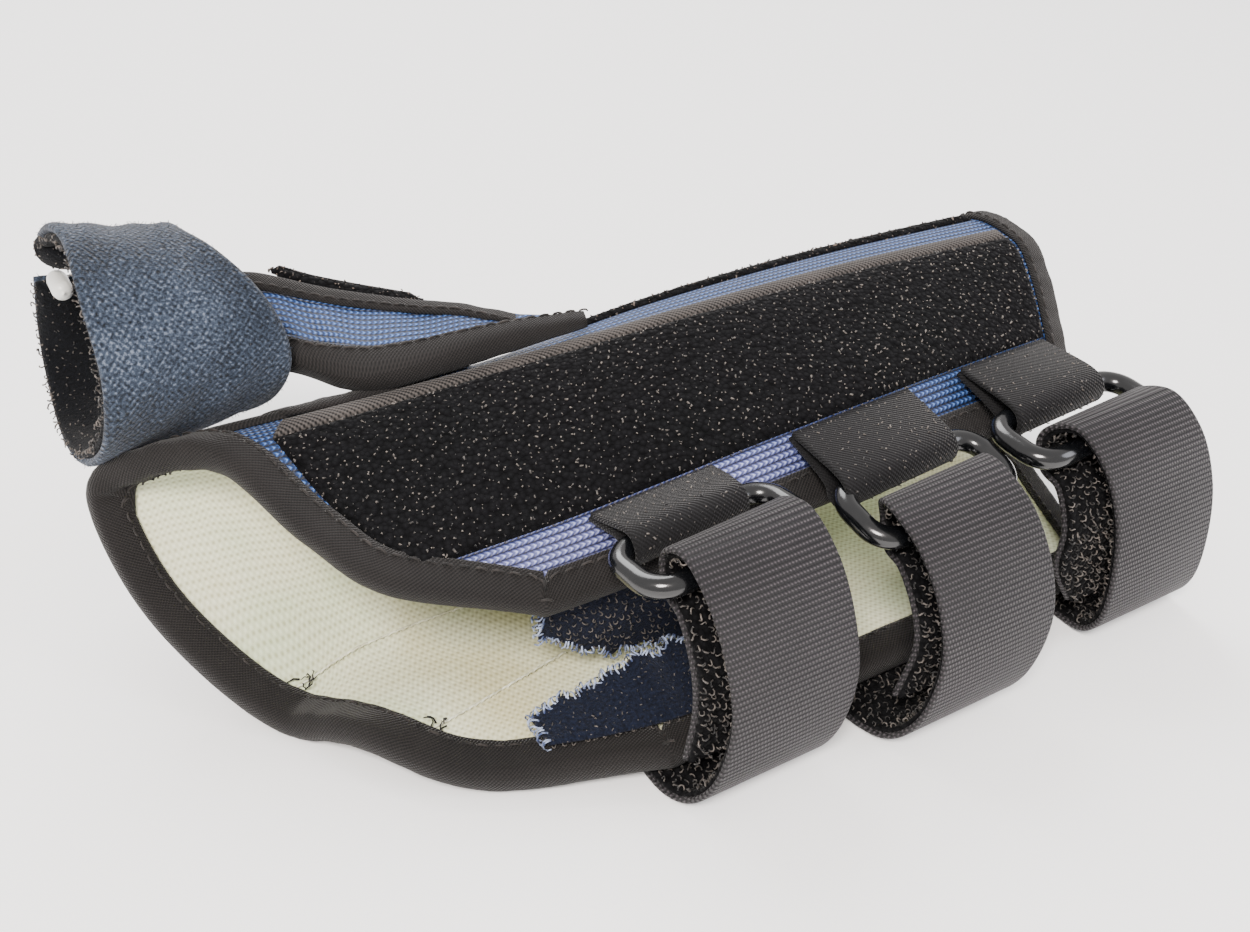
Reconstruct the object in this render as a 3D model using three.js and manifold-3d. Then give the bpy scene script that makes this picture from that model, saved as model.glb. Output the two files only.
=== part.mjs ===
import * as THREE from 'three';
import { mergeVertices } from 'three/addons/utils/BufferGeometryUtils.js';
import Module from 'manifold-3d';

// Whole brace, in mm: X runs along the arm, Y away from the closure, Z up from the table.
const braceLength = 226;
const braceDepth = 100;
const braceHeight = 61;

// Layers of the padded wall, from outside to inside.
const coverThick = 1.8;
const liningThick = 1.4;
const layerGap = 0.3;
const wallThick = coverThick + layerGap + liningThick;

// Binding tape folded over a cut edge. Where an edge runs aslant, the tape reaches further in.
const tapeThick = 1.1;
const tapeGap = 0.4;
const tapeWidth = 6.2;
const forearmTapeWidth = 3.8;
const tapeLift = tapeGap + tapeThick;
const tapeStretch = 1.35;
const holeTapeWidth = 4;
const tongueTapeWidth = 3.8;

// Pile panels and the ribbed tape along the front one.
const pileThick = 2.2;
const panelGap = 0.5;
const panelTapeThick = 1.2;

// How far the front panel's top corner stands back from the mouth's tape, how much wider the ribbed
// tape is at the wrist (in u), and where the rear panel starts as a share of braceLength.
const frontSetBack = 8;
const tapeFlare = 0.005;
const rearPanelStart = 0.465;

// Closure straps and the plastic rings that they run through.
const strapWidth = 29;
const strapThick = 2.4;
const ringBar = 2.4;
const ringSpan = 37.4;
const ringReach = 15;
const tabThick = 1.3;
const tabWidth = 26.4;

// Thumb tongue, thumb strap and the stay tip that shows in its gap.
const tongueThick = 3;
const tongueBow = 0.045;
const thumbStrapThick = 4.2;
const thumbRadius = 24;
const stayTipRadius = 2.2;
const stayTipLength = 5;

// Cloth ends that hang loose inside the closure.
const flapThick = 1.4;

// Sections of the cover's outer face. Each row: place along the arm as a share of braceLength, then
// pairs of y (share of braceDepth) and z (share of braceHeight), going from the free edge of the
// bottom sheet, round the far side, to the free edge of the top sheet.
const sectionColumns = [
  'edge', 'quarter', 'middle', 'heel', 'low', 'wall', 'ridge', 'panelTop', 'panelMid', 'panelLow', 'free',
];
const sectionRows = [
  [0.00,
    [-0.44, 0.00], [-0.31, 0.00], [-0.14, 0.07], [0.01, 0.00], [0.31, 0.25], [0.48, 0.61],
    [0.43, 0.77], [0.29, 0.84], [0.06, 0.68], [-0.10, 0.56], [-0.20, 0.48]],
  [0.10,
    [-0.44, 0.00], [-0.32, 0.00], [-0.16, 0.09], [0.03, 0.00], [0.31, 0.23], [0.47, 0.60],
    [0.43, 0.77], [0.29, 0.84], [0.06, 0.68], [-0.10, 0.56], [-0.20, 0.48]],
  [0.19,
    [-0.45, 0.00], [-0.34, 0.00], [-0.17, 0.06], [0.10, 0.01], [0.31, 0.19], [0.45, 0.56],
    [0.42, 0.77], [0.28, 0.84], [0.08, 0.71], [-0.08, 0.59], [-0.20, 0.48]],
  [0.37,
    [-0.48, 0.05], [-0.34, 0.04], [-0.12, 0.02], [0.12, 0.02], [0.29, 0.17], [0.43, 0.50],
    [0.37, 0.81], [0.22, 0.91], [0.03, 0.83], [-0.14, 0.69], [-0.26, 0.55]],
  [0.56,
    [-0.48, 0.06], [-0.32, 0.05], [-0.10, 0.02], [0.10, 0.02], [0.26, 0.17], [0.40, 0.52],
    [0.32, 0.92], [0.15, 0.99], [-0.02, 0.91], [-0.18, 0.79], [-0.30, 0.65]],
  [0.77,
    [-0.48, 0.06], [-0.32, 0.05], [-0.10, 0.02], [0.09, 0.02], [0.25, 0.18], [0.39, 0.54],
    [0.32, 0.93], [0.13, 1.00], [-0.02, 0.93], [-0.17, 0.81], [-0.29, 0.66]],
  [1.00,
    [-0.46, 0.05], [-0.30, 0.04], [-0.10, 0.02], [0.08, 0.02], [0.23, 0.18], [0.37, 0.55],
    [0.29, 0.93], [0.10, 0.98], [-0.02, 0.90], [-0.13, 0.77], [-0.25, 0.62]],
];

// Cut edges along the arm for each section column, as shares of braceLength.
const mouthCut = [0.372, 0.235, 0.155, 0.095, 0.026, 0.008, 0.044, 0.11, 0.155, 0.20, 0.31];
const forearmCut = [0.88, 0.91, 0.95, 0.97, 0.98, 0.985, 0.98, 0.975, 0.957, 0.93, 0.90];

// Closures, from the hand end: middle of the ring's inner bar, as shares of the brace's three sizes,
// how the ring is turned and how far its outer bar falls (degrees), then the strap's middle along
// the arm at its top, bulge and foot as shares of braceLength, the bulge's y as a share of
// braceDepth, and how far the fold rises above the ring's outer bar.
const strapRoot = -0.32;
const closures = [
  { ring: [0.434, -0.303, 0.774], turn: 6, fall: -4, topX: 0.447, bulgeX: 0.456, footX: 0.42, bulgeY: -0.61, rise: 5 },
  { ring: [0.649, -0.355, 0.77], turn: 5, fall: 14, topX: 0.642, bulgeX: 0.655, footX: 0.615, bulgeY: -0.67, rise: 7 },
  { ring: [0.835, -0.346, 0.79], turn: 4, fall: 4, topX: 0.857, bulgeX: 0.879, footX: 0.885, bulgeY: -0.63, rise: 5 },
];

const armWay = new THREE.Vector3(1, 0, 0);

// A place given as shares of the brace's three sizes.
function placeOf([length, depth, height]) {
  return new THREE.Vector3(length * braceLength, depth * braceDepth, height * braceHeight);
}

const materials = {
  blueKnit: new THREE.MeshStandardMaterial({ color: 0x3f63a8, roughness: 0.62, metalness: 0 }),
  creamLining: new THREE.MeshStandardMaterial({ color: 0xdedcc4, roughness: 0.9, metalness: 0 }),
  blackPile: new THREE.MeshStandardMaterial({ color: 0x17161a, roughness: 0.95, metalness: 0 }),
  brownPile: new THREE.MeshStandardMaterial({ color: 0x2b2524, roughness: 0.95, metalness: 0 }),
  twillTape: new THREE.MeshStandardMaterial({ color: 0x2a2727, roughness: 0.88, metalness: 0 }),
  ribTape: new THREE.MeshStandardMaterial({ color: 0x3b383a, roughness: 0.88, metalness: 0 }),
  greyWebbing: new THREE.MeshStandardMaterial({ color: 0x59555a, roughness: 0.85, metalness: 0 }),
  bluePile: new THREE.MeshStandardMaterial({ color: 0x2b3950, roughness: 0.95, metalness: 0 }),
  navyCloth: new THREE.MeshStandardMaterial({ color: 0x171d33, roughness: 0.92, metalness: 0 }),
  blackPlastic: new THREE.MeshStandardMaterial({ color: 0x0b0b0d, roughness: 0.22, metalness: 0 }),
  palePlastic: new THREE.MeshStandardMaterial({ color: 0xd9d9d6, roughness: 0.4, metalness: 0 }),
};

const group = new THREE.Group();

function add(name, geometry, material) {
  const mesh = new THREE.Mesh(geometry, materials[material].clone());
  mesh.name = name;
  group.add(mesh);
}

// Smooth value at x of a table of values over its stations.
function blend(stations, values, x) {
  const last = stations.length - 1;
  let i = 0;
  while (i < last - 1 && x > stations[i + 1]) i += 1;
  const slope = (k) => {
    const a = Math.max(k - 1, 0);
    const b = Math.min(k + 1, last);
    return (values[b] - values[a]) / (stations[b] - stations[a]);
  };
  const span = stations[i + 1] - stations[i];
  const s = Math.min(Math.max((x - stations[i]) / span, 0), 1);
  const s2 = s * s;
  const s3 = s2 * s;
  return (2 * s3 - 3 * s2 + 1) * values[i] + (s3 - 2 * s2 + s) * span * slope(i)
    + (3 * s2 - 2 * s3) * values[i + 1] + (s3 - s2) * span * slope(i + 1);
}

function steps(count) {
  return Array.from({ length: count + 1 }, (none, k) => k / count);
}

const columnPlaces = steps(sectionColumns.length - 1);
const columnPlace = Object.fromEntries(sectionColumns.map((name, k) => [name, columnPlaces[k]]));
const rowPlaces = sectionRows.map((row) => row[0]);
const columnDepths = sectionColumns.map((name, k) => sectionRows.map((row) => row[k + 1][0] * braceDepth));
const columnHeights = sectionColumns.map((name, k) => sectionRows.map((row) => row[k + 1][1] * braceHeight));

// A point of the cover's outer face: u goes round the section, x along the arm.
function facePoint(u, x) {
  const share = x / braceLength;
  const depths = columnDepths.map((values) => blend(rowPlaces, values, share));
  const heights = columnHeights.map((values) => blend(rowPlaces, values, share));
  return new THREE.Vector3(x, blend(columnPlaces, depths, u), blend(columnPlaces, heights, u) + tapeLift);
}

function faceNormal(u, x) {
  const du = 0.004;
  const dx = 0.5;
  const along = facePoint(u, x + dx).sub(facePoint(u, x - dx));
  const round = facePoint(Math.min(u + du, 1), x).sub(facePoint(Math.max(u - du, 0), x));
  return round.cross(along).normalize();
}

function offsetPoint(u, x, offset) {
  return facePoint(u, x).addScaledVector(faceNormal(u, x), offset);
}

function mouthX(u) {
  return blend(columnPlaces, mouthCut, u) * braceLength;
}

function forearmX(u) {
  return blend(columnPlaces, forearmCut, u) * braceLength;
}

// Rounds and steps of the wall's grid, which the tapes over its edges share. The steps are shorter
// towards the mouth, where the wall bends most.
const roundSteps = 40;
const alongSteps = 12;
const stepGrowth = 1.3;

function wallX(u, b) {
  return mouthX(u) + (forearmX(u) - mouthX(u)) * b ** stepGrowth;
}

function curveOf(points) {
  return new THREE.CatmullRomCurve3(points.map((p) => new THREE.Vector3(...p)), false, 'centripetal');
}

function geometryOf(points, faces) {
  const geometry = new THREE.BufferGeometry();
  geometry.setAttribute('position', new THREE.Float32BufferAttribute(points.flatMap((p) => [p.x, p.y, p.z]), 3));
  geometry.setIndex(faces);
  geometry.computeVertexNormals();
  return geometry;
}

// The signed volume tells whether the faces need turning to look outwards.
function outward(geometry) {
  const places = geometry.getAttribute('position');
  const index = Array.from(geometry.getIndex().array);
  const corner = (k) => new THREE.Vector3().fromBufferAttribute(places, index[k]);
  let volume = 0;
  for (let k = 0; k < index.length; k += 3) volume += corner(k).dot(corner(k + 1).cross(corner(k + 2)));
  if (volume < 0) {
    const turned = [];
    for (let k = 0; k < index.length; k += 3) turned.push(index[k], index[k + 2], index[k + 1]);
    geometry.setIndex(turned);
    geometry.computeVertexNormals();
  }
  return geometry;
}

// A closed slab between two grids of points, outer(a, b) and inner(a, b), with a and b from 0 to 1.
function slab(outer, inner, na, nb) {
  const points = [];
  const faces = [];
  for (const face of [outer, inner]) {
    for (let i = 0; i <= na; i += 1) {
      for (let j = 0; j <= nb; j += 1) points.push(face(i / na, j / nb));
    }
  }
  const layer = (na + 1) * (nb + 1);
  const at = (k, i, j) => k * layer + i * (nb + 1) + j;
  const quad = (a, b, c, d) => faces.push(a, b, c, a, c, d);
  for (let i = 0; i < na; i += 1) {
    for (let j = 0; j < nb; j += 1) {
      quad(at(0, i, j), at(0, i + 1, j), at(0, i + 1, j + 1), at(0, i, j + 1));
      quad(at(1, i, j), at(1, i, j + 1), at(1, i + 1, j + 1), at(1, i + 1, j));
    }
    quad(at(0, i, 0), at(1, i, 0), at(1, i + 1, 0), at(0, i + 1, 0));
    quad(at(0, i + 1, nb), at(1, i + 1, nb), at(1, i, nb), at(0, i, nb));
  }
  for (let j = 0; j < nb; j += 1) {
    quad(at(0, 0, j + 1), at(1, 0, j + 1), at(1, 0, j), at(0, 0, j));
    quad(at(0, na, j), at(1, na, j), at(1, na, j + 1), at(0, na, j + 1));
  }
  return outward(geometryOf(points, faces));
}

// A body through a row of like sections. Each frame turns a place (p, q) of the flat outline into
// a point. A loop joins its last section to the first.
function sweep(frames, outline, loop) {
  const points = frames.flatMap((frame) => outline.map(([p, q]) => frame(p, q)));
  const n = outline.length;
  const faces = [];
  const count = loop ? frames.length : frames.length - 1;
  for (let i = 0; i < count; i += 1) {
    const a = i * n;
    const b = ((i + 1) % frames.length) * n;
    for (let j = 0; j < n; j += 1) {
      const k = (j + 1) % n;
      faces.push(a + j, b + j, b + k, a + j, b + k, a + k);
    }
  }
  if (!loop) {
    const flat = outline.map(([p, q]) => new THREE.Vector2(p, q));
    const end = (frames.length - 1) * n;
    const turn = THREE.ShapeUtils.area(flat) > 0;
    for (const [a, b, c] of THREE.ShapeUtils.triangulateShape(flat, [])) {
      if (turn) {
        faces.push(a, b, c, end + a, end + c, end + b);
      } else {
        faces.push(a, c, b, end + a, end + b, end + c);
      }
    }
  }
  return outward(geometryOf(points, faces));
}

// A straight frame: p runs along side and q along up.
function straightFrame(place, side, up) {
  return (p, q) => place.clone().addScaledVector(side, p).addScaledVector(up, q);
}

// The outline of a tape folded over an edge: p goes into the cloth, q out of its face.
function foldedTape(cloth, width) {
  const inner = cloth / 2 + tapeGap;
  const outer = inner + tapeThick;
  const nose = tapeLift * 0.8;
  return [
    [width, inner], [width, outer * 0.95], [0, outer], [-nose, outer * 0.5], [-nose, -outer * 0.5],
    [0, -outer], [width, -outer * 0.95], [width, -inner], [-tapeGap, -inner], [-tapeGap, inner],
  ];
}

// Frames of a tape over an edge of the wall. place(s) and inside(s) are [u, x] of a point on the
// edge and of the next grid point inside it, so that the tape lies along the cloth's own facets.
function edgeFrames(shares, place, inside) {
  const middle = ([u, x]) => offsetPoint(u, x, -wallThick / 2);
  return shares.map((s, k) => {
    const before = middle(place(shares[Math.max(k - 1, 0)]));
    const after = middle(place(shares[Math.min(k + 1, shares.length - 1)]));
    const run = after.sub(before).normalize();
    const chord = middle(inside(s)).sub(middle(place(s)));
    const slant = Math.sqrt(1 - chord.clone().normalize().dot(run) ** 2);
    const share = Math.min(1 / slant, tapeStretch) / chord.length();
    return (p, q) => {
      const start = offsetPoint(...place(s), q - wallThick / 2);
      const end = offsetPoint(...inside(s), q - wallThick / 2);
      return start.lerp(end, p * share);
    };
  });
}

// Thumb hole: an oval through the top of the wall, beside the ridge.
const thumbHole = {
  u: columnPlace.ridge + 0.006, x: 0.266 * braceLength, reachU: 0.034, reachX: 0.084 * braceLength,
};

function holeRoute(grow) {
  return (s) => {
    const angle = s * 2 * Math.PI;
    const u = thumbHole.u + (thumbHole.reachU + grow * 0.0048) * Math.sin(angle);
    return [u, thumbHole.x + (thumbHole.reachX + grow) * Math.cos(angle)];
  };
}

// The cutter for the hole, standing through the wall.
function holeCutter() {
  const count = 36;
  const reach = 7;
  const route = holeRoute(0);
  const points = [];
  const faces = [];
  for (const offset of [reach, -reach]) {
    for (let i = 0; i < count; i += 1) points.push(offsetPoint(...route(i / count), offset));
    points.push(offsetPoint(thumbHole.u, thumbHole.x, offset));
  }
  const low = count + 1;
  for (let i = 0; i < count; i += 1) {
    const j = (i + 1) % count;
    faces.push(i, j, count);
    faces.push(low + j, low + i, low + count);
    faces.push(i, low + i, low + j, i, low + j, j);
  }
  return outward(geometryOf(points, faces));
}

const wasm = await Module();
wasm.setup();

function solidOf(geometry) {
  const index = Uint32Array.from(geometry.getIndex().array);
  const places = Float32Array.from(geometry.getAttribute('position').array);
  return new wasm.Manifold(new wasm.Mesh({ numProp: 3, vertProperties: places, triVerts: index }));
}

function cut(geometry, cutter) {
  const mesh = solidOf(geometry).subtract(solidOf(cutter)).getMesh();
  const result = new THREE.BufferGeometry();
  result.setAttribute('position', new THREE.Float32BufferAttribute(Array.from(mesh.vertProperties), 3));
  result.setIndex(Array.from(mesh.triVerts));
  result.computeVertexNormals();
  return result;
}

// A layer of the wall between two offsets from the outer face.
function wallLayer(outerOffset, innerOffset) {
  const place = (offset) => (a, b) => offsetPoint(a, wallX(a, b), offset);
  return slab(place(outerOffset), place(innerOffset), roundSteps, alongSteps);
}

function coverAndLining() {
  const cutter = holeCutter();
  add('cover', cut(wallLayer(0, -coverThick), cutter), 'blueKnit');
  add('lining', cut(wallLayer(-coverThick - layerGap, -wallThick), cutter), 'creamLining');
}

// Tapes over the cut edges. The long ones stop short of those across their ends.
function bindings() {
  const round = steps(roundSteps);
  const shareOf = (width, u) => (width * tapeStretch + tapeGap) / (forearmX(u) - mouthX(u));
  const mouth = edgeFrames(round, (u) => [u, mouthX(u)], (u) => [u, wallX(u, 1 / alongSteps)]);
  const forearm = edgeFrames(round, (u) => [u, forearmX(u)], (u) => [u, wallX(u, 1 - 1 / alongSteps)]);
  add('mouth_binding', sweep(mouth, foldedTape(wallThick, tapeWidth), false), 'twillTape');
  add('forearm_binding', sweep(forearm, foldedTape(wallThick, forearmTapeWidth), false), 'twillTape');
  for (const [name, u, inner] of [['bottom_edge_binding', 0, 1], ['top_edge_binding', 1, roundSteps - 1]]) {
    const start = shareOf(tapeWidth, u) ** (1 / stepGrowth);
    const end = (1 - shareOf(forearmTapeWidth, u)) ** (1 / stepGrowth);
    const shares = [start, ...steps(alongSteps).filter((b) => b > start && b < end), end];
    const frames = edgeFrames(shares, (b) => [u, wallX(u, b)], (b) => [inner / roundSteps, wallX(u, b)]);
    add(name, sweep(frames, foldedTape(wallThick, tapeWidth * 0.9), false), 'twillTape');
  }
  const holeFrames = edgeFrames(steps(30), holeRoute(0), holeRoute(holeTapeWidth)).slice(0, -1);
  const holeTape = foldedTape(wallThick + 0.6, holeTapeWidth);
  add('thumb_hole_binding', sweep(holeFrames, holeTape, true), 'twillTape');
}

// A patch on the outer face from u = low(b) to u = top(b), between x = start(u) and x = end(u).
function facePatch(low, top, start, end, lift, thick, na, nb) {
  const place = (offset) => (a, b) => {
    const u = low(b) + (top(b) - low(b)) * a;
    return offsetPoint(u, start(u) + (end(u) - start(u)) * b, offset);
  };
  return slab(place(lift + thick), place(lift), na, nb);
}

function panels() {
  const { panelLow, panelTop, ridge, wall } = columnPlace;
  const end = (u) => forearmX(u) - forearmTapeWidth - 2;
  const setBack = (u) => frontSetBack * ((u - panelLow) / (panelTop - panelLow)) ** 2;
  const start = (u) => mouthX(u) + tapeWidth + 3 + setBack(u);
  const front = facePatch(() => panelLow, () => panelTop, start, end, panelGap, pileThick, 8, 14);
  add('front_plush', front, 'blackPile');
  const tapeLow = panelTop - 0.009;
  const tapeTop = (b) => tapeLow - 0.017 - tapeFlare * Math.max(0, 1 - 5 * b);
  const tapeStart = (u) => start(panelTop) + (tapeLow - u) * 100;
  const tape = facePatch(() => tapeLow, tapeTop, tapeStart, end, panelGap, panelTapeThick, 2, 15);
  add('panel_tape', tape, 'ribTape');
  const rearStart = () => rearPanelStart * braceLength;
  const rear = facePatch(() => ridge + 0.03, () => wall - 0.02, rearStart, end, panelGap, pileThick, 8, 12);
  add('rear_plush', rear, 'brownPile');
}

// A strip bent along a line of [x, y, z] points, with sideAt(s) the direction of its width.
function ribbon(line, width, thick, sideAt, count) {
  const curve = curveOf(line);
  const half = thick / 2;
  const outline = [[-width / 2, -half], [width / 2, -half], [width / 2, half], [-width / 2, half]];
  const frames = steps(count).map((s) => {
    const side = sideAt(s).normalize();
    return straightFrame(curve.getPoint(s), side, curve.getTangent(s).cross(side).normalize());
  });
  return sweep(frames, outline, false);
}

// A plastic ring: a round bar bent to a long rounded rectangle in the plane of along and across.
function plasticRing(centre, along, across) {
  const corner = 5;
  const halfLong = ringSpan / 2;
  const halfWide = ringReach / 2;
  const up = along.clone().cross(across).normalize();
  const frames = [];
  for (const [sx, sy, from] of [[1, 1, 0], [-1, 1, 90], [-1, -1, 180], [1, -1, 270]]) {
    for (let k = 0; k <= 4; k += 1) {
      const angle = THREE.MathUtils.degToRad(from + k * 22.5);
      const p = sx * (halfLong - corner) + corner * Math.cos(angle);
      const q = sy * (halfWide - corner) + corner * Math.sin(angle);
      const place = centre.clone().addScaledVector(along, p).addScaledVector(across, q);
      const side = along.clone().multiplyScalar(Math.cos(angle)).addScaledVector(across, Math.sin(angle));
      frames.push(straightFrame(place, side, up));
    }
  }
  const outline = steps(8).slice(1).map((s) => {
    const angle = s * 2 * Math.PI;
    return [ringBar * Math.cos(angle), ringBar * Math.sin(angle)];
  });
  return sweep(frames, outline, true);
}

// One closure: the ring, the strap that loops out from under the bottom sheet and folds back through
// the ring, and the tab that holds the ring to the top sheet.
function closure(row, number) {
  const turn = THREE.MathUtils.degToRad(row.turn);
  const fall = THREE.MathUtils.degToRad(row.fall);
  const along = new THREE.Vector3(Math.cos(turn), Math.sin(turn), 0);
  const across = new THREE.Vector3(Math.sin(turn), -Math.cos(turn), 0).multiplyScalar(Math.cos(fall));
  across.z = -Math.sin(fall);
  const innerBar = placeOf(row.ring);
  const outerBar = innerBar.clone().addScaledVector(across, ringReach);
  add(`ring_${number}`, plasticRing(innerBar.clone().lerp(outerBar, 0.5), along, across), 'blackPlastic');

  const [topX, bulgeX, footX] = [row.topX, row.bulgeX, row.footX].map((share) => share * braceLength);
  const rootY = strapRoot * braceDepth;
  const foot = strapThick / 2;
  const top = outerBar.z + row.rise;
  const far = row.bulgeY * braceDepth;
  const near = outerBar.y;
  const ringX = outerBar.x;
  const line = [
    [footX, rootY, foot],
    [footX, rootY + (far - rootY) * 0.65, foot],
    [footX + (bulgeX - footX) * 0.25, far + 4.5, foot + 1.6],
    [footX + (bulgeX - footX) * 0.6, far + 0.5, top * 0.17],
    [bulgeX, far - 0.3, top * 0.42],
    [bulgeX, far + 2.2, top * 0.66],
    [(bulgeX + topX) / 2, far + (near - far) * 0.5, top * 0.89],
    [topX, near - 0.5, top],
    [(topX + ringX) / 2, near + 4.6, top - 1.6],
    [ringX + 0.5, near + 6, outerBar.z + 1],
    [ringX, near + 3.2, outerBar.z - 4.6],
    [ringX, near - 2, outerBar.z - 6.4],
    [ringX, far + (near - far) * 0.52, outerBar.z * 0.68],
    [ringX, far + 6.8, top * 0.42],
    [(ringX + footX) / 2, far + 6, top * 0.22],
  ];
  const ringShare = 9 / (line.length - 1);
  const strapSide = (s) => armWay.clone().lerp(along, Math.exp(-(((s - ringShare) / 0.14) ** 2)));
  add(`strap_${number}`, ribbon(line, strapWidth, strapThick, strapSide, 30), 'greyWebbing');

  const tabRound = ringBar + layerGap + tabThick / 2;
  const seatU = columnPlace.panelLow + 0.011;
  const rise = layerGap + tabThick / 2 + 0.2;
  const seat = offsetPoint(seatU, innerBar.x, rise);
  const seatUp = offsetPoint(seatU, innerBar.x, rise + tabThick + layerGap);
  const seatWay = facePoint(seatU, innerBar.x + tabWidth / 2).sub(facePoint(seatU, innerBar.x - tabWidth / 2));
  seatWay.normalize();
  const tabLine = [[innerBar.x, seat.y, seat.z]];
  for (let k = 0; k <= 6; k += 1) {
    const angle = THREE.MathUtils.degToRad(-12 - k * 41);
    tabLine.push([innerBar.x, innerBar.y + tabRound * Math.cos(angle), innerBar.z + tabRound * Math.sin(angle)]);
  }
  tabLine.push([innerBar.x, seatUp.y, seatUp.z]);
  const tabSide = (s) => seatWay.clone().lerp(along, Math.min(1, 3.4 * Math.sin(Math.PI * s)));
  add(`ring_tab_${number}`, ribbon(tabLine, tabWidth, tabThick, tabSide, 18), 'blackPile');
}

// Thumb tongue: a bound strip from the wrist to inside the thumb strap, between its two edges.
// Their places are shares of the brace's three sizes.
const tongueNear = new THREE.CatmullRomCurve3([
  [0.071, 0.535, 1.033], [0.168, 0.509, 0.99], [0.208, 0.481, 0.964], [0.239, 0.418, 0.951], [0.274, 0.352, 0.958],
  [0.336, 0.303, 0.985], [0.389, 0.270, 1.01], [0.469, 0.245, 1.025],
].map(placeOf), false, 'centripetal');
const tongueFar = new THREE.CatmullRomCurve3([
  [0.071, 0.70, 1.18], [0.159, 0.69, 1.155], [0.217, 0.65, 1.118], [0.257, 0.60, 1.07], [0.31, 0.525, 1.03],
  [0.363, 0.445, 1.01], [0.416, 0.37, 1.01], [0.478, 0.31, 1.012],
].map(placeOf), false, 'centripetal');

function tonguePoint(a, b, offset) {
  const near = tongueNear.getPoint(b);
  const far = tongueFar.getPoint(b);
  const across = far.clone().sub(near).normalize();
  const up = tongueNear.getTangent(b).cross(across).normalize();
  const bow = tongueBow * near.distanceTo(far) * Math.sin(Math.PI * a);
  return near.lerp(far, a).addScaledVector(up, offset + bow);
}

function tongue() {
  const face = (offset) => (a, b) => tonguePoint(a, 0.97 * b, offset);
  const cells = 6;
  add('thumb_tongue', slab(face(tongueThick / 2), face(-tongueThick / 2), cells, 16), 'blueKnit');
  const tape = foldedTape(tongueThick, tongueTapeWidth);
  const edges = [['tongue_near_binding', 0, 1 / cells, 0.97], ['tongue_far_binding', 1, 1 - 1 / cells, 0.91]];
  for (const [name, a, next, stop] of edges) {
    const frames = steps(16).map((s) => {
      const b = stop * s;
      const length = tonguePoint(a, b, 0).distanceTo(tonguePoint(next, b, 0));
      return (p, q) => tonguePoint(a, b, q).lerp(tonguePoint(next, b, q), p / length);
    });
    add(name, sweep(frames, tape, false), 'twillTape');
  }
  const pile = steps(8).map((s) => {
    const b = 0.36 + 0.26 * s;
    const edge = tonguePoint(1, b, 0);
    const side = edge.clone().sub(tonguePoint(0, b, 0)).normalize();
    const up = tonguePoint(1, b, 1).sub(edge);
    return straightFrame(edge.addScaledVector(side, tapeLift + layerGap + 2.2), side, up);
  });
  add('tongue_pile', sweep(pile, [[-2.2, -2], [2.2, -2], [2.2, 1.2], [-2.2, 1.2]], false), 'blackPile');
}

// Thumb strap: a thick ring round the tongue's end, open on its far side, with slanting ends and
// its arm end drawn in. Its middle is given at two places along the arm.
const thumbMiddle = [[0.031, 0.61, 1.115], [0.177, 0.61, 1.074]].map(placeOf);
const thumbDrawIn = 0.8;

// Degrees round the ring, then its two ends along the arm as shares of braceLength.
const thumbEnds = {
  angles: [25, 60, 90, 135, 180, 225, 270, 320, 372],
  left: [0.022, 0.031, 0.040, 0.036, 0.033, 0.018, 0, 0.004, 0.018],
  right: [0.137, 0.142, 0.146, 0.177, 0.195, 0.177, 0.128, 0.133, 0.142],
};
const stayTipX = 0.0354;
const stayTipDegrees = 26;
const stayTipGap = 0.5;

function thumbPoint(degrees, b, inset) {
  const angle = THREE.MathUtils.degToRad(degrees);
  const left = blend(thumbEnds.angles, thumbEnds.left, degrees);
  const right = blend(thumbEnds.angles, thumbEnds.right, degrees);
  const x = (left + (right - left) * b) * braceLength;
  const [start, end] = thumbMiddle;
  const share = (x - start.x) / (end.x - start.x);
  const radius = thumbRadius * (1 + (thumbDrawIn - 1) * share) - inset;
  const z = start.z + (end.z - start.z) * share;
  return new THREE.Vector3(x, start.y + radius * Math.cos(angle), z + radius * Math.sin(angle));
}

function thumbStrap() {
  const from = thumbEnds.angles[0];
  const to = thumbEnds.angles[thumbEnds.angles.length - 1];
  const face = (inset) => (a, b) => thumbPoint(from + (to - from) * a, b, inset);
  add('thumb_strap', slab(face(0), face(thumbStrapThick), 28, 4), 'bluePile');
  const tip = new THREE.CapsuleGeometry(stayTipRadius, stayTipLength, 4, 10);
  tip.deleteAttribute('normal');
  tip.deleteAttribute('uv');
  const angle = THREE.MathUtils.degToRad(stayTipDegrees);
  const reach = thumbRadius - thumbStrapThick - stayTipGap - stayTipLength / 2 - stayTipRadius;
  const { y, z } = thumbMiddle[0];
  tip.translate(stayTipX * braceLength, y + reach * Math.cos(angle), z + reach * Math.sin(angle));
  add('thumb_stay_tip', mergeVertices(tip), 'palePlastic');
}

// A cloth end inside the closure. Its held edge runs through places [u, share of braceLength]
// against the tapes; its ragged edge hangs off that by pairs of y and z.
function flap(name, held, hang) {
  const base = wallThick + tapeLift + layerGap + flapThick / 2;
  const places = steps(held.length - 1);
  const mix = (rows, k, b) => blend(places, rows.map((row) => row[k]), b);
  const face = (offset) => (a, b) => {
    const start = offsetPoint(mix(held, 0, b), mix(held, 1, b) * braceLength, -base);
    const drop = new THREE.Vector3(0, mix(hang, 0, b), mix(hang, 1, b));
    const up = drop.clone().cross(armWay).normalize();
    return start.addScaledVector(drop, a).addScaledVector(up, offset);
  };
  add(name, slab(face(flapThick / 2), face(-flapThick / 2), 4, 8), 'navyCloth');
}

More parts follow.
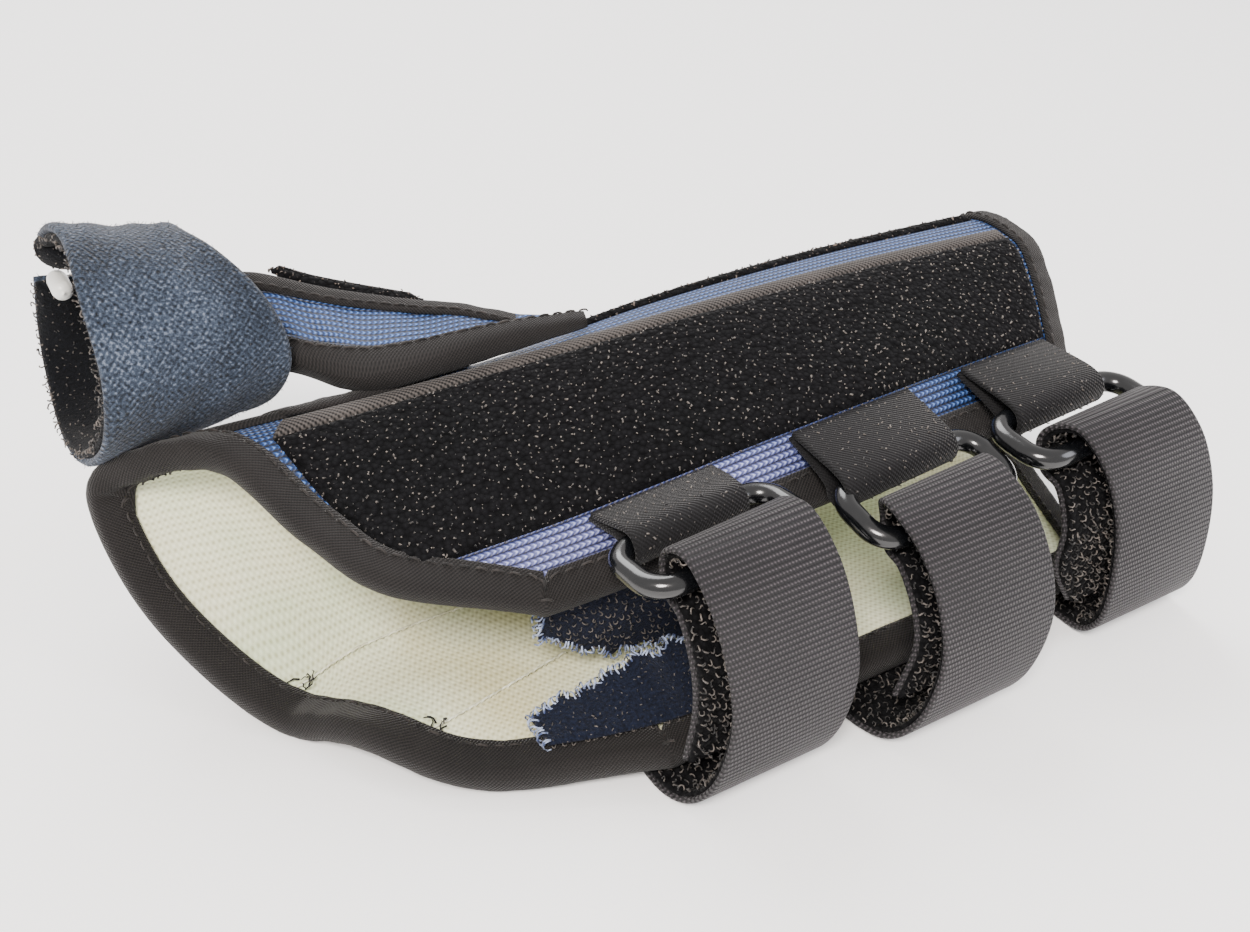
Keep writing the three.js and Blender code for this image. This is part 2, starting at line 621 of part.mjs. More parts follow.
coverAndLining();
bindings();
panels();
closures.forEach((row, k) => closure(row, k + 1));
tongue();
thumbStrap();
flap('upper_flap',
  [[0.985, 0.336], [0.985, 0.389], [0.985, 0.442], [0.985, 0.496]],
  [[0.5, -15], [0, -17], [-1.5, -19], [-1, -16]]);
flap('lower_flap',
  [[0.09, 0.283], [0.055, 0.336], [0.03, 0.398], [0.03, 0.478]],
  [[7, 1.5], [10, 5], [13, 8], [12, 6]]);

// The whole brace moves so that the middle of its footprint lies at the origin.
const bounds = new THREE.Box3().setFromObject(group);
const middle = bounds.getCenter(new THREE.Vector3());
for (const mesh of group.children) mesh.geometry.translate(-middle.x, -middle.y, -bounds.min.z);

export default group;
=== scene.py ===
import math

import bpy
import numpy as np
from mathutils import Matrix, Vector


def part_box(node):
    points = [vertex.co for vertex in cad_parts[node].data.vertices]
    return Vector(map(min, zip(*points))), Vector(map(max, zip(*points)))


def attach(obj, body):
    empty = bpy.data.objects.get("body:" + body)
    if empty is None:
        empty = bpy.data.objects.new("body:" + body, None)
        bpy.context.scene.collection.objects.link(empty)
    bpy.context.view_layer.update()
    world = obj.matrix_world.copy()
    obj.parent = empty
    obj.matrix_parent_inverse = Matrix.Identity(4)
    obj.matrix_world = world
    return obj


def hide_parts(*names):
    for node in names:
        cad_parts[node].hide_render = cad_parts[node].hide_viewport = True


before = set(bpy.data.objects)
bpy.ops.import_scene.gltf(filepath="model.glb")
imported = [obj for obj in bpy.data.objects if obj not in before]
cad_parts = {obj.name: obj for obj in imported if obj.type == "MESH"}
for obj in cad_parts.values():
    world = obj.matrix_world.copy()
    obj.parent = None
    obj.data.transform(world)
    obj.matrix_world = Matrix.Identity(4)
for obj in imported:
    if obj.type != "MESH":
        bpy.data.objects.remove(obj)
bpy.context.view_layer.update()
print("frame loaded:", len(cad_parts), "solids")

# The brace's own sizes in mm, as in the part's source: x along the arm, y away from the closure.
brace = {
    "length": 226,
    "depth": 100,
    "height": 61,
    "coverThick": 1.8,
    "liningThick": 1.4,
    "layerGap": 0.3,
    "tapeThick": 1.1,
    "tapeGap": 0.4,
}
wallThick = brace["coverThick"] + brace["layerGap"] + brace["liningThick"]
tapeLift = brace["tapeGap"] + brace["tapeThick"]

# Sections of the cover's outer face: share of the length, then y and z as shares, from the free
# edge of the bottom sheet round the far side to the free edge of the top sheet.
sectionRows = [
    (0.00, [(-0.44, 0.00), (-0.31, 0.00), (-0.14, 0.07), (0.01, 0.00), (0.31, 0.25), (0.48, 0.61),
            (0.43, 0.77), (0.29, 0.84), (0.06, 0.68), (-0.10, 0.56), (-0.20, 0.48)]),
    (0.10, [(-0.44, 0.00), (-0.32, 0.00), (-0.16, 0.09), (0.03, 0.00), (0.31, 0.23), (0.47, 0.60),
            (0.43, 0.77), (0.29, 0.84), (0.06, 0.68), (-0.10, 0.56), (-0.20, 0.48)]),
    (0.19, [(-0.45, 0.00), (-0.34, 0.00), (-0.17, 0.06), (0.10, 0.01), (0.31, 0.19), (0.45, 0.56),
            (0.42, 0.77), (0.28, 0.84), (0.08, 0.71), (-0.08, 0.59), (-0.20, 0.48)]),
    (0.37, [(-0.48, 0.05), (-0.34, 0.04), (-0.12, 0.02), (0.12, 0.02), (0.29, 0.17), (0.43, 0.50),
            (0.37, 0.81), (0.22, 0.91), (0.03, 0.83), (-0.14, 0.69), (-0.26, 0.55)]),
    (0.56, [(-0.48, 0.06), (-0.32, 0.05), (-0.10, 0.02), (0.10, 0.02), (0.26, 0.17), (0.40, 0.52),
            (0.32, 0.92), (0.15, 0.99), (-0.02, 0.91), (-0.18, 0.79), (-0.30, 0.65)]),
    (0.77, [(-0.48, 0.06), (-0.32, 0.05), (-0.10, 0.02), (0.09, 0.02), (0.25, 0.18), (0.39, 0.54),
            (0.32, 0.93), (0.13, 1.00), (-0.02, 0.93), (-0.17, 0.81), (-0.29, 0.66)]),
    (1.00, [(-0.46, 0.05), (-0.30, 0.04), (-0.10, 0.02), (0.08, 0.02), (0.23, 0.18), (0.37, 0.55),
            (0.29, 0.93), (0.10, 0.98), (-0.02, 0.90), (-0.13, 0.77), (-0.25, 0.62)]),
]
mouthCut = [0.372, 0.235, 0.155, 0.095, 0.026, 0.008, 0.044, 0.11, 0.155, 0.20, 0.31]
forearmCut = [0.88, 0.91, 0.95, 0.97, 0.98, 0.985, 0.98, 0.975, 0.957, 0.93, 0.90]
columns = ["edge", "quarter", "middle", "heel", "low", "wall", "ridge", "panelTop", "panelMid", "panelLow",
           "free"]
columnAt = np.linspace(0, 1, len(columns))
braceSize = np.array([brace["length"], brace["depth"], brace["height"]])
place = dict(zip(columns, columnAt))


# Smooth values at x. The table holds a row of values over the stations, or one row for each x.
def smooth(stations, table, x):
    stations = np.asarray(stations, float)
    x = np.asarray(x, float)
    table = np.asarray(table, float)
    if table.ndim == 1:
        table = np.repeat(table[:, None], x.size, 1)
    slopes = np.empty_like(table)
    slopes[1:-1] = (table[2:] - table[:-2]) / (stations[2:] - stations[:-2])[:, None]
    slopes[0] = (table[1] - table[0]) / (stations[1] - stations[0])
    slopes[-1] = (table[-1] - table[-2]) / (stations[-1] - stations[-2])
    i = np.clip(np.searchsorted(stations, x, "right") - 1, 0, len(stations) - 2)
    k = np.arange(x.size)
    span = stations[i + 1] - stations[i]
    s = np.clip((x - stations[i]) / span, 0, 1)
    s2, s3 = s * s, s * s * s
    return ((2 * s3 - 3 * s2 + 1) * table[i, k] + (s3 - 2 * s2 + s) * span * slopes[i, k]
            + (3 * s2 - 2 * s3) * table[i + 1, k] + (s3 - s2) * span * slopes[i + 1, k])


def facePoint(u, x):
    u, x = np.broadcast_arrays(np.asarray(u, float), np.asarray(x, float))
    shape = u.shape
    u, x = u.ravel(), x.ravel()
    at = [row[0] for row in sectionRows]
    share = x / brace["length"]
    depths, heights = (
        np.array([smooth(at, [row[1][k][axis] * brace[size] for row in sectionRows], share)
                  for k in range(len(columns))])
        for axis, size in enumerate(("depth", "height")))
    y = smooth(columnAt, depths, u)
    z = smooth(columnAt, heights, u) + tapeLift
    return np.stack([x, y, z], 1).reshape(*shape, 3)


def unit(v):
    return v / np.maximum(np.linalg.norm(v, axis=-1, keepdims=True), 1e-9)


def faceNormal(u, x):
    u, x = np.broadcast_arrays(np.asarray(u, float), np.asarray(x, float))
    along = facePoint(u, x + 0.5) - facePoint(u, x - 0.5)
    across = facePoint(np.minimum(u + 0.004, 1), x) - facePoint(np.maximum(u - 0.004, 0), x)
    return unit(np.cross(across, along))


def offsetPoint(u, x, offset):
    return facePoint(u, x) + faceNormal(u, x) * np.asarray(offset)[..., None]


def mouthX(u):
    return smooth(columnAt, mouthCut, np.ravel(u)).reshape(np.shape(u)) * brace["length"]


def forearmX(u):
    return smooth(columnAt, forearmCut, np.ravel(u)).reshape(np.shape(u)) * brace["length"]


# A smooth line through points, the same spline as the source's, at shares t of its spans.
def splinePoints(points, t):
    p = np.asarray(points, float)
    last = len(p) - 1
    p = np.vstack([2 * p[0] - p[1], p, 2 * p[-1] - p[-2]])
    t = np.asarray(t, float) * last
    i = np.clip(np.floor(t).astype(int), 0, last - 1)
    w = (t - i)[:, None]
    a, b, c, d = p[i], p[i + 1], p[i + 2], p[i + 3]
    gap = [np.sqrt(np.linalg.norm(n - m, axis=1))[:, None] for m, n in ((a, b), (b, c), (c, d))]
    start = ((b - a) / gap[0] - (c - a) / (gap[0] + gap[1]) + (c - b) / gap[1]) * gap[1]
    end = ((c - b) / gap[1] - (d - b) / (gap[1] + gap[2]) + (d - c) / gap[2]) * gap[1]
    return b + start * w + (-3 * b + 3 * c - 2 * start - end) * w**2 + (2 * b - 2 * c + start + end) * w**3


def tangents(line):
    return unit(np.gradient(line, axis=0))


def lengths(line):
    return np.concatenate([[0], np.cumsum(np.linalg.norm(np.diff(line, axis=0), axis=1))])


# The frame's shift is read off the cover: the mean of what its two corners give.
wallGrid = np.meshgrid(np.linspace(0, 1, 81), np.linspace(0, 1, 61), indexing="ij")
wallXs = mouthX(wallGrid[0]) + (forearmX(wallGrid[0]) - mouthX(wallGrid[0])) * wallGrid[1]
coverPoints = facePoint(wallGrid[0], wallXs).reshape(-1, 3)
coverBox = np.array([list(corner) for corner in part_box("cover")]) * 1000
shift = np.array([coverBox[0][k] - coverPoints[:, k].min() for k in range(3)])
shift = (shift + [coverBox[1][k] - coverPoints[:, k].max() for k in range(3)]) / 2
print("shift to the frame in mm:", np.round(shift, 2))


# Meshes. Points are in mm in the source's coordinates, and the shift takes them to the frame.
def toFrame(points):
    return (np.asarray(points, float) + shift) / 1000


def addObject(name, data):
    obj = bpy.data.objects.new(name, data)
    bpy.context.scene.collection.objects.link(obj)
    return obj


# Shares from 0 to 1 down and across a grid of na by nb cells.
def shareGrid(na, nb):
    return np.meshgrid(np.linspace(0, 1, na + 1), np.linspace(0, 1, nb + 1), indexing="ij")


def circleAngles(count):
    return np.radians(np.arange(count) * (360 // count))


def quadVolume(points, quads):
    a, b, c, d = (points[quads[:, k]] for k in range(4))
    return float((a * np.cross(b, c)).sum() + (a * np.cross(c, d)).sum())


def makeObject(name, points, quads, cornerUv, caps=(), marks=None):
    points = np.asarray(points, float)
    quads = np.asarray(quads)
    caps = [np.asarray(cap) for cap in caps]
    centre = points.mean(0)
    volume = quadVolume(points - centre, quads)
    for cap in caps:
        p = points[cap] - centre
        volume += sum(float(np.dot(p[0], np.cross(p[k], p[k + 1]))) for k in range(1, len(p) - 1))
    if volume < 0:
        quads = quads[:, ::-1]
        cornerUv = cornerUv[:, ::-1]
        caps = [cap[::-1] for cap in caps]
    mesh = bpy.data.meshes.new(name)
    mesh.from_pydata(toFrame(points).tolist(), [], quads.tolist() + [cap.tolist() for cap in caps])
    uv = np.zeros((len(mesh.loops), 2))
    uv[: cornerUv.shape[0] * 4] = cornerUv.reshape(-1, 2)
    mesh.uv_layers.new(name="cloth").data.foreach_set("uv", uv.ravel())
    for mark, values in (marks or {}).items():
        mesh.attributes.new(mark, "FLOAT", "POINT").data.foreach_set("value", np.asarray(values, float))
    mesh.polygons.foreach_set("use_smooth", [True] * len(mesh.polygons))
    mesh.validate()
    return addObject(name, mesh)


# A closed sheet between two grids of points. keep leaves cells out, as at a hole.
def sheetBody(name, outer, inner, uv, keep=None, marks=None):
    na, nb = outer.shape[0] - 1, outer.shape[1] - 1
    keep = np.ones((na, nb), bool) if keep is None else keep
    index = np.arange((na + 1) * (nb + 1)).reshape(na + 1, nb + 1)
    n = index.size
    i, j = np.nonzero(keep)
    top = np.stack([index[i, j], index[i + 1, j], index[i + 1, j + 1], index[i, j + 1]], 1)
    ways = np.concatenate([top[:, [0, 1]], top[:, [1, 2]], top[:, [2, 3]], top[:, [3, 0]]])
    rim = ways[~np.isin(ways[:, 0] * n + ways[:, 1], ways[:, 1] * n + ways[:, 0])]
    side = np.stack([rim[:, 1], rim[:, 0], rim[:, 0] + n, rim[:, 1] + n], 1)
    bottom = top[:, ::-1] + n
    quads = np.concatenate([top, bottom, side])
    points = np.concatenate([outer.reshape(-1, 3), inner.reshape(-1, 3)])
    flatUv = np.concatenate([uv.reshape(-1, 2)] * 2)
    used = np.unique(quads)
    renumber = np.zeros(2 * n, int)
    renumber[used] = np.arange(used.size)
    marks = {k: np.concatenate([np.ravel(v)] * 2)[used] for k, v in (marks or {}).items()}
    return makeObject(name, points[used], renumber[quads], flatUv[quads], marks=marks)


# An open sheet, used only as ground for loops and fibres.
def openSheet(name, grid):
    na, nb = grid.shape[0] - 1, grid.shape[1] - 1
    index = np.arange((na + 1) * (nb + 1)).reshape(na + 1, nb + 1)
    quads = np.stack([index[:-1, :-1], index[1:, :-1], index[1:, 1:], index[:-1, 1:]], -1).reshape(-1, 4)
    mesh = bpy.data.meshes.new(name)
    mesh.from_pydata(toFrame(grid.reshape(-1, 3)).tolist(), [], quads.tolist())
    return addObject(name, mesh)


# A body of like sections along a row of frames. sections: (frames, outline points, 3).
def sweepBody(name, sections, run, girth, loop=False):
    n, m = sections.shape[:2]
    index = np.arange(n * m).reshape(n, m)
    after = np.roll(index, -1, 0) if loop else index[1:]
    before = index if loop else index[:-1]
    quads = np.stack([before, after, np.roll(after, -1, 1), np.roll(before, -1, 1)], -1).reshape(-1, 4)
    s = np.asarray(run, float)
    t = np.asarray(girth, float)
    uv = np.empty((len(s) - 1, m, 4, 2))
    uv[..., 0, 0] = uv[..., 3, 0] = s[:-1, None]
    uv[..., 1, 0] = uv[..., 2, 0] = s[1:, None]
    uv[..., 0, 1] = uv[..., 1, 1] = t[None, :-1]
    uv[..., 2, 1] = uv[..., 3, 1] = t[None, 1:]
    caps = [] if loop else [index[0][::-1], index[-1]]
    return makeObject(name, sections.reshape(-1, 3), quads, uv.reshape(-1, 4, 2), caps)


# The outline of a strip with round edges, counterclockwise, between two heights.
def roundedStrip(width, low, high, corner=4):
    half = (high - low) / 2
    middle = (high + low) / 2
    reach = width / 2 - half
    angles = np.radians(np.linspace(-90, 90, corner + 1))
    right = np.stack([reach + half * np.cos(angles), middle + half * np.sin(angles)], 1)
    left = np.stack([-reach - half * np.cos(angles), middle - half * np.sin(angles)], 1)
    return np.concatenate([right, left])


def girthOf(outline):
    closed = np.vstack([outline, outline[:1]])
    return lengths(closed)


def ribbonBody(name, line, side, outline):
    up = unit(np.cross(tangents(line), side))
    side = unit(side)
    sections = line[:, None] + side[:, None] * outline[None, :, :1] + up[:, None] * outline[None, :, 1:]
    return sweepBody(name, sections, lengths(line), girthOf(outline))


# Finishes. Patterns read the cloth map, which is in mm: x along the thread run, y across it.
def srgb(code):
    values = [int(code[k:k + 2], 16) / 255 for k in (0, 2, 4)]
    return tuple(c / 12.92 if c <= 0.04045 else ((c + 0.055) / 1.055) ** 2.4 for c in values) + (1,)


def addNode(tree, kind, inputs=(), **settings):
    node = tree.nodes.new(kind)
    stops = settings.pop("stops", None)
    for key, value in settings.items():
        setattr(node, key, value)
    if stops:
        ramp = node.color_ramp.elements
        while len(ramp) < len(stops):
            ramp.new(0.5)
        for element, (at, code) in zip(ramp, stops):
            element.position = at
            element.color = srgb(code)
    for key, value in inputs.items() if isinstance(inputs, dict) else enumerate(inputs):
        if isinstance(value, bpy.types.Node):
            value = value.outputs[0]
        if isinstance(value, bpy.types.NodeSocket):
            tree.links.new(value, node.inputs[key])
        elif value is not None:
            node.inputs[key].default_value = value
    return node


def newMaterial(name, roughness, ior=1.5, **shader):
    material = bpy.data.materials.new(name)
    material.use_nodes = True
    tree = material.node_tree
    surface = tree.nodes["Principled BSDF"]
    surface.inputs["Roughness"].default_value = roughness
    surface.inputs["IOR"].default_value = ior
    for key, value in shader.items():
        surface.inputs[key.replace("_", " ")].default_value = value
    return material, tree, surface


# A cloth: rough, with little mirror light and a faint bloom of fibre ends.
def newCloth(name, roughness, sheen=0.1, specular=0.25):
    material, tree, surface = newMaterial(name, roughness)
    surface.inputs["Specular IOR Level"].default_value = specular
    surface.inputs["Sheen Weight"].default_value = sheen
    surface.inputs["Sheen Roughness"].default_value = 0.4
    return material, tree, surface


def clothMap(tree):
    uv = addNode(tree, "ShaderNodeUVMap", uv_map="cloth")
    split = addNode(tree, "ShaderNodeSeparateXYZ", [uv.outputs["UV"]])
    return split.outputs["X"], split.outputs["Y"]


# Uneven shade through the object, with the scale in waves for each metre.
def objectNoise(tree, scale, detail):
    spot = addNode(tree, "ShaderNodeTexCoord").outputs["Object"]
    return addNode(tree, "ShaderNodeTexNoise", {"Vector": spot, "Scale": scale, "Detail": detail}).outputs[0]


# Uneven shade on the cloth map, with the scale in waves for each mm.
def clothNoise(tree, scale, detail, roughness=0.5):
    spot = addNode(tree, "ShaderNodeUVMap", uv_map="cloth").outputs["UV"]
    return addNode(tree, "ShaderNodeTexNoise", {"Vector": spot, "Scale": scale, "Detail": detail,
                                                "Roughness": roughness}).outputs[0]


# A sine of a place on the cloth, one wave every periodMm.
def sineEvery(tree, value, periodMm):
    turn = addNode(tree, "ShaderNodeMath", [value, 2 * math.pi / periodMm], operation="MULTIPLY")
    return addNode(tree, "ShaderNodeMath", [turn], operation="SINE")


# Ribs every ribMm: the place counted in ribs, and how far it is from its rib's middle, 0 to 0.5.
def ribsEvery(tree, value, ribMm):
    rib = addNode(tree, "ShaderNodeMath", [value, ribMm], operation="DIVIDE")
    share = addNode(tree, "ShaderNodeMath", [rib], operation="FRACT")
    half = addNode(tree, "ShaderNodeMath", [share, 0.5], operation="SUBTRACT")
    return rib, addNode(tree, "ShaderNodeMath", [half], operation="ABSOLUTE")


def finishCloth(tree, surface, colour, height, depthMm, strength=1.0):
    tree.links.new(colour, surface.inputs["Base Color"])
    bump = addNode(tree, "ShaderNodeBump", {"Height": height, "Distance": depthMm / 1000,
                                            "Strength": strength})
    tree.links.new(bump.outputs["Normal"], surface.inputs["Normal"])


# Satin rib knit of nylon: bright threads on the ribs, near black between them, paler lavender where a
# highlight is painted.
def satinRibKnit(name, ribMm=1.55, stitchMm=1.25):
    material, tree, surface = newCloth(name, 0.45, 0.08, 0.4)
    along, across = clothMap(tree)
    away = ribsEvery(tree, across, ribMm)[1]
    square = addNode(tree, "ShaderNodeMath", [away, away], operation="MULTIPLY")
    crown = addNode(tree, "ShaderNodeMath", [square, -3.6, 1.0], operation="MULTIPLY_ADD")
    step = addNode(tree, "ShaderNodeMath", [along, 2 * math.pi / stitchMm], operation="MULTIPLY")
    slant = addNode(tree, "ShaderNodeMath", [away, 7.5, step], operation="MULTIPLY_ADD")
    wave = addNode(tree, "ShaderNodeMath", [slant], operation="SINE")
    stitch = addNode(tree, "ShaderNodeMath", [wave, 0.24, 0.72], operation="MULTIPLY_ADD")
    height = addNode(tree, "ShaderNodeMath", [crown, stitch], operation="MULTIPLY")
    colour = addNode(tree, "ShaderNodeValToRGB", [height],
                     stops=[(0.1, "050810"), (0.45, "0f2245"), (0.75, "23457e"), (0.97, "5f83bf")])
    # Painted highlight: a paler lavender copy of the rib colours, mixed in where the mesh's mark is set.
    paintedHighlight = addNode(tree, "ShaderNodeValToRGB", [height],
                   stops=[(0.1, "101124"), (0.4, "3a3d6c"), (0.7, "6c71a8"), (0.97, "b4b8dd")])
    mark = addNode(tree, "ShaderNodeAttribute", attribute_name="paintedHighlight").outputs["Fac"]
    mixed = addNode(tree, "ShaderNodeMix", {0: mark, 6: colour, 7: paintedHighlight}, data_type="RGBA").outputs[2]
    shade = addNode(tree, "ShaderNodeMapRange", {"Value": objectNoise(tree, 45, 3), "To Min": 0.75,
                                                 "To Max": 1.2})
    tinted = addNode(tree, "ShaderNodeMix", {0: 1.0, 6: mixed, 7: shade}, data_type="RGBA",
                     blend_type="MULTIPLY")
    finishCloth(tree, surface, tinted.outputs[2], height, 0.35)
    return material


# Cream cotton lining: fine ribs with small stitches, matt, a little yellowed in patches.
def creamRibCloth(name, ribMm=1.7, stitchMm=1.3):
    material, tree, surface = newCloth(name, 0.88)
    along, across = clothMap(tree)
    bend = clothNoise(tree, 0.12, 1)
    drift = addNode(tree, "ShaderNodeMath", [bend, 2.4, across], operation="MULTIPLY_ADD")
    ribWave = sineEvery(tree, drift, ribMm)
    stitchWave = sineEvery(tree, along, stitchMm)
    both = addNode(tree, "ShaderNodeMath", [ribWave, stitchWave], operation="MULTIPLY")
    mix = addNode(tree, "ShaderNodeMath", [ribWave, 0.6, both], operation="MULTIPLY_ADD")
    height = addNode(tree, "ShaderNodeMath", [mix, 0.25, 0.5], operation="MULTIPLY_ADD")
    colour = addNode(tree, "ShaderNodeValToRGB", [height],
                     stops=[(0.1, "bdbb9f"), (0.5, "dfe0c8"), (0.95, "f1f2e0")])
    tone = addNode(tree, "ShaderNodeValToRGB", [objectNoise(tree, 28, 4)],
                   stops=[(0.32, "e3dcc4"), (0.5, "f4f4ea"), (0.7, "e4eedd")])
    tinted = addNode(tree, "ShaderNodeMix", {0: 1.0, 6: colour, 7: tone}, data_type="RGBA",
                     blend_type="MULTIPLY")
    finishCloth(tree, surface, tinted.outputs[2], height, 0.22, 0.8)
    return material


# Cotton twill tape: fine slanting lines, dusty black with a brown cast.
def twillTape(name, dark, light, lineMm, threadMm=0.8):
    material, tree, surface = newCloth(name, 0.82, 0.08)
    along, across = clothMap(tree)
    slant = addNode(tree, "ShaderNodeMath", [along, across], operation="ADD")
    counter = addNode(tree, "ShaderNodeMath", [along, across], operation="SUBTRACT")
    line = sineEvery(tree, slant, lineMm)
    thread = sineEvery(tree, counter, threadMm)
    height = addNode(tree, "ShaderNodeMath", [line, 0.32, 0.5], operation="MULTIPLY_ADD")
    height = addNode(tree, "ShaderNodeMath", [thread, 0.16, height], operation="MULTIPLY_ADD")
    lifted = addNode(tree, "ShaderNodeMath", [objectNoise(tree, 90, 3), 0.5, height],
                     operation="MULTIPLY_ADD")
    colour = addNode(tree, "ShaderNodeValToRGB", [lifted], stops=[(0.35, dark), (1.15, light)])
    finishCloth(tree, surface, colour.outputs[0], height, 0.22)
    return material


# Ground of a loop pile: dull black, with cells a little over 1 mm wide where the loops leave it.
def pileGround(name, dark, light):
    material, tree, surface = newCloth(name, 0.9, 0.03, 0.1)
    spot = addNode(tree, "ShaderNodeTexCoord").outputs["Object"]
    cell = addNode(tree, "ShaderNodeTexVoronoi", {"Vector": spot, "Scale": 900.0}).outputs["Distance"]
    colour = addNode(tree, "ShaderNodeValToRGB", [cell], stops=[(0.2, light), (0.8, dark)])
    turned = addNode(tree, "ShaderNodeMath", [1.0, cell], operation="SUBTRACT")
    finishCloth(tree, surface, colour.outputs[0], turned, 0.6)
    return material


# Nylon loops of a pile: black or brown, with grey glints on the threads.
def nylonLoop(name, dark, middle, light):
    material, tree, surface = newCloth(name, 0.5, 0.08, 0.35)
    speck, patch = objectNoise(tree, 700, 2), objectNoise(tree, 60, 2)
    both = addNode(tree, "ShaderNodeMath", [patch, 0.35, speck], operation="MULTIPLY_ADD")
    colour = addNode(tree, "ShaderNodeValToRGB", [both], stops=[(0.45, dark), (0.6, middle), (0.8, light)])
    tree.links.new(colour.outputs[0], surface.inputs["Base Color"])
    return material


# Woven nylon webbing: ribs across the strap, each a row of small bights, grey with a mauve cast.
def ribbedWebbing(name, ribMm=1.15, bightMm=0.75):
    material, tree, surface = newCloth(name, 0.6, 0.06, 0.3)
    along, across = clothMap(tree)
    rib, away = ribsEvery(tree, along, ribMm)
    crown = addNode(tree, "ShaderNodeMath", [away, -1.9, 1.0], operation="MULTIPLY_ADD")
    row = addNode(tree, "ShaderNodeMath", [rib], operation="FLOOR")
    shifted = addNode(tree, "ShaderNodeMath", [row, 0.5 * bightMm, across], operation="MULTIPLY_ADD")
    wave = sineEvery(tree, shifted, bightMm)
    bight = addNode(tree, "ShaderNodeMath", [wave, 0.22, 0.72], operation="MULTIPLY_ADD")
    height = addNode(tree, "ShaderNodeMath", [crown, bight], operation="MULTIPLY")
    lifted = addNode(tree, "ShaderNodeMath", [objectNoise(tree, 35, 3), 0.35, height],
                     operation="MULTIPLY_ADD")
    colour = addNode(tree, "ShaderNodeValToRGB", [lifted],
                     stops=[(0.15, "040304"), (0.5, "121013"), (0.8, "272427"), (1.1, "4a4448")])
    finishCloth(tree, surface, colour.outputs[0], height, 0.45)
    return material


# Brushed knit of the thumb strap: slate blue, with pale fibre tips over a dark ground.
def brushedKnit(name, rowMm=1.7, stitchMm=1.3):
    material, tree, surface = newCloth(name, 0.92, 0.15)
    along, across = clothMap(tree)
    row = sineEvery(tree, across, rowMm)
    stitch = sineEvery(tree, along, stitchMm)
    grid = addNode(tree, "ShaderNodeMath", [row, stitch], operation="MULTIPLY")
    speck = clothNoise(tree, 1.1, 3, 0.7)
    height = addNode(tree, "ShaderNodeMath", [grid, 0.09, speck], operation="MULTIPLY_ADD")
    lifted = addNode(tree, "ShaderNodeMath", [objectNoise(tree, 50, 3), 0.35, height],
                     operation="MULTIPLY_ADD")
    colour = addNode(tree, "ShaderNodeValToRGB", [lifted],
                     stops=[(0.45, "080b10"), (0.6, "1b222d"), (0.76, "374150"), (0.93, "6d7686")])
    finishCloth(tree, surface, colour.outputs[0], height, 0.7)
    return material


# Smooth knit inside the thumb strap and on the loose cloth ends, with a little fluff.
def fluffyCloth(name, dark, light):
    material, tree, surface = newCloth(name, 0.93, 0.06, 0.15)
    speck = clothNoise(tree, 1.4, 4, 0.75)
    colour = addNode(tree, "ShaderNodeValToRGB", [speck], stops=[(0.38, dark), (0.72, light)])
    finishCloth(tree, surface, colour.outputs[0], speck, 0.6)
    return material


# Spun thread of seams, overlock loops and fray: uneven in shade where the fibres turn.
def spunThread(name, dark, light):
    material, tree, surface = newCloth(name, 0.7)
    colour = addNode(tree, "ShaderNodeValToRGB", [objectNoise(tree, 500, 2)],
                     stops=[(0.35, dark), (0.65, light)])
    tree.links.new(colour.outputs[0], surface.inputs["Base Color"])
    return material


# Moulded nylon of the rings: black and glossy, a touch uneven, with fine rubbed marks.
def mouldedNylon(name, code, roughness, markMm=3.0, dentMm=0.12):
    material, tree, surface = newMaterial(name, roughness, 1.53, Coat_Weight=0.25, Coat_Roughness=0.12)
    surface.inputs["Base Color"].default_value = srgb(code)
    skin = objectNoise(tree, 1000 / markMm, 4)
    rubbed = addNode(tree, "ShaderNodeMapRange", {"Value": skin, "From Min": 0.4, "From Max": 0.8,
                                                  "To Min": roughness, "To Max": roughness + 0.14})
    tree.links.new(rubbed.outputs[0], surface.inputs["Roughness"])
    bump = addNode(tree, "ShaderNodeBump", {"Height": skin, "Distance": dentMm / 1000, "Strength": 0.5})
    tree.links.new(bump.outputs["Normal"], surface.inputs["Normal"])
    return material


blueKnit = satinRibKnit("satinRibKnitNylon")
creamCloth = creamRibCloth("creamRibbedCotton")
darkTwill = twillTape("twillTapeCotton", "050505", "1f1c1b", 0.85)
dashTape = twillTape("twillTapeDashed", "050505", "4c4744", 1.2)
blackRibTape = twillTape("ribbedTapeBlack", "020203", "0e0d0f", 0.95)
blackGround = pileGround("loopPileGround", "020203", "0e0e10")
blackLoops = nylonLoop("loopPileNylonBlack", "0a0a0b", "2b2928", "6a635d")
brownLoops = nylonLoop("loopPileNylonBrown", "070504", "221b17", "6a5d54")
greyWebbing = ribbedWebbing("ribbedWebbingNylon")
slateKnit = brushedKnit("brushedKnitSlate")
navyFibre = spunThread("brushedFibreSlate", "0a101a", "333f52")
blackFluff = fluffyCloth("brushedKnitBlack", "040507", "14161b")
navyCloth = fluffyCloth("frayedClothNavy", "070a14", "1d2438")
paleThread = spunThread("overlockThreadPaleBlue", "39456b", "aebbd6")
darkThread = spunThread("sewingThreadDark", "0a0909", "2e2a28")
creamThread = spunThread("sewingThreadCream", "b7b59b", "e6e6d2")
blackFray = spunThread("frayedThreadBlack", "050505", "1c1a1a")
ringPlastic = mouldedNylon("mouldedNylonBlack", "08090b", 0.16)
tipPlastic = mouldedNylon("mouldedNylonPale", "d9d9d4", 0.38)
print("finishes made")


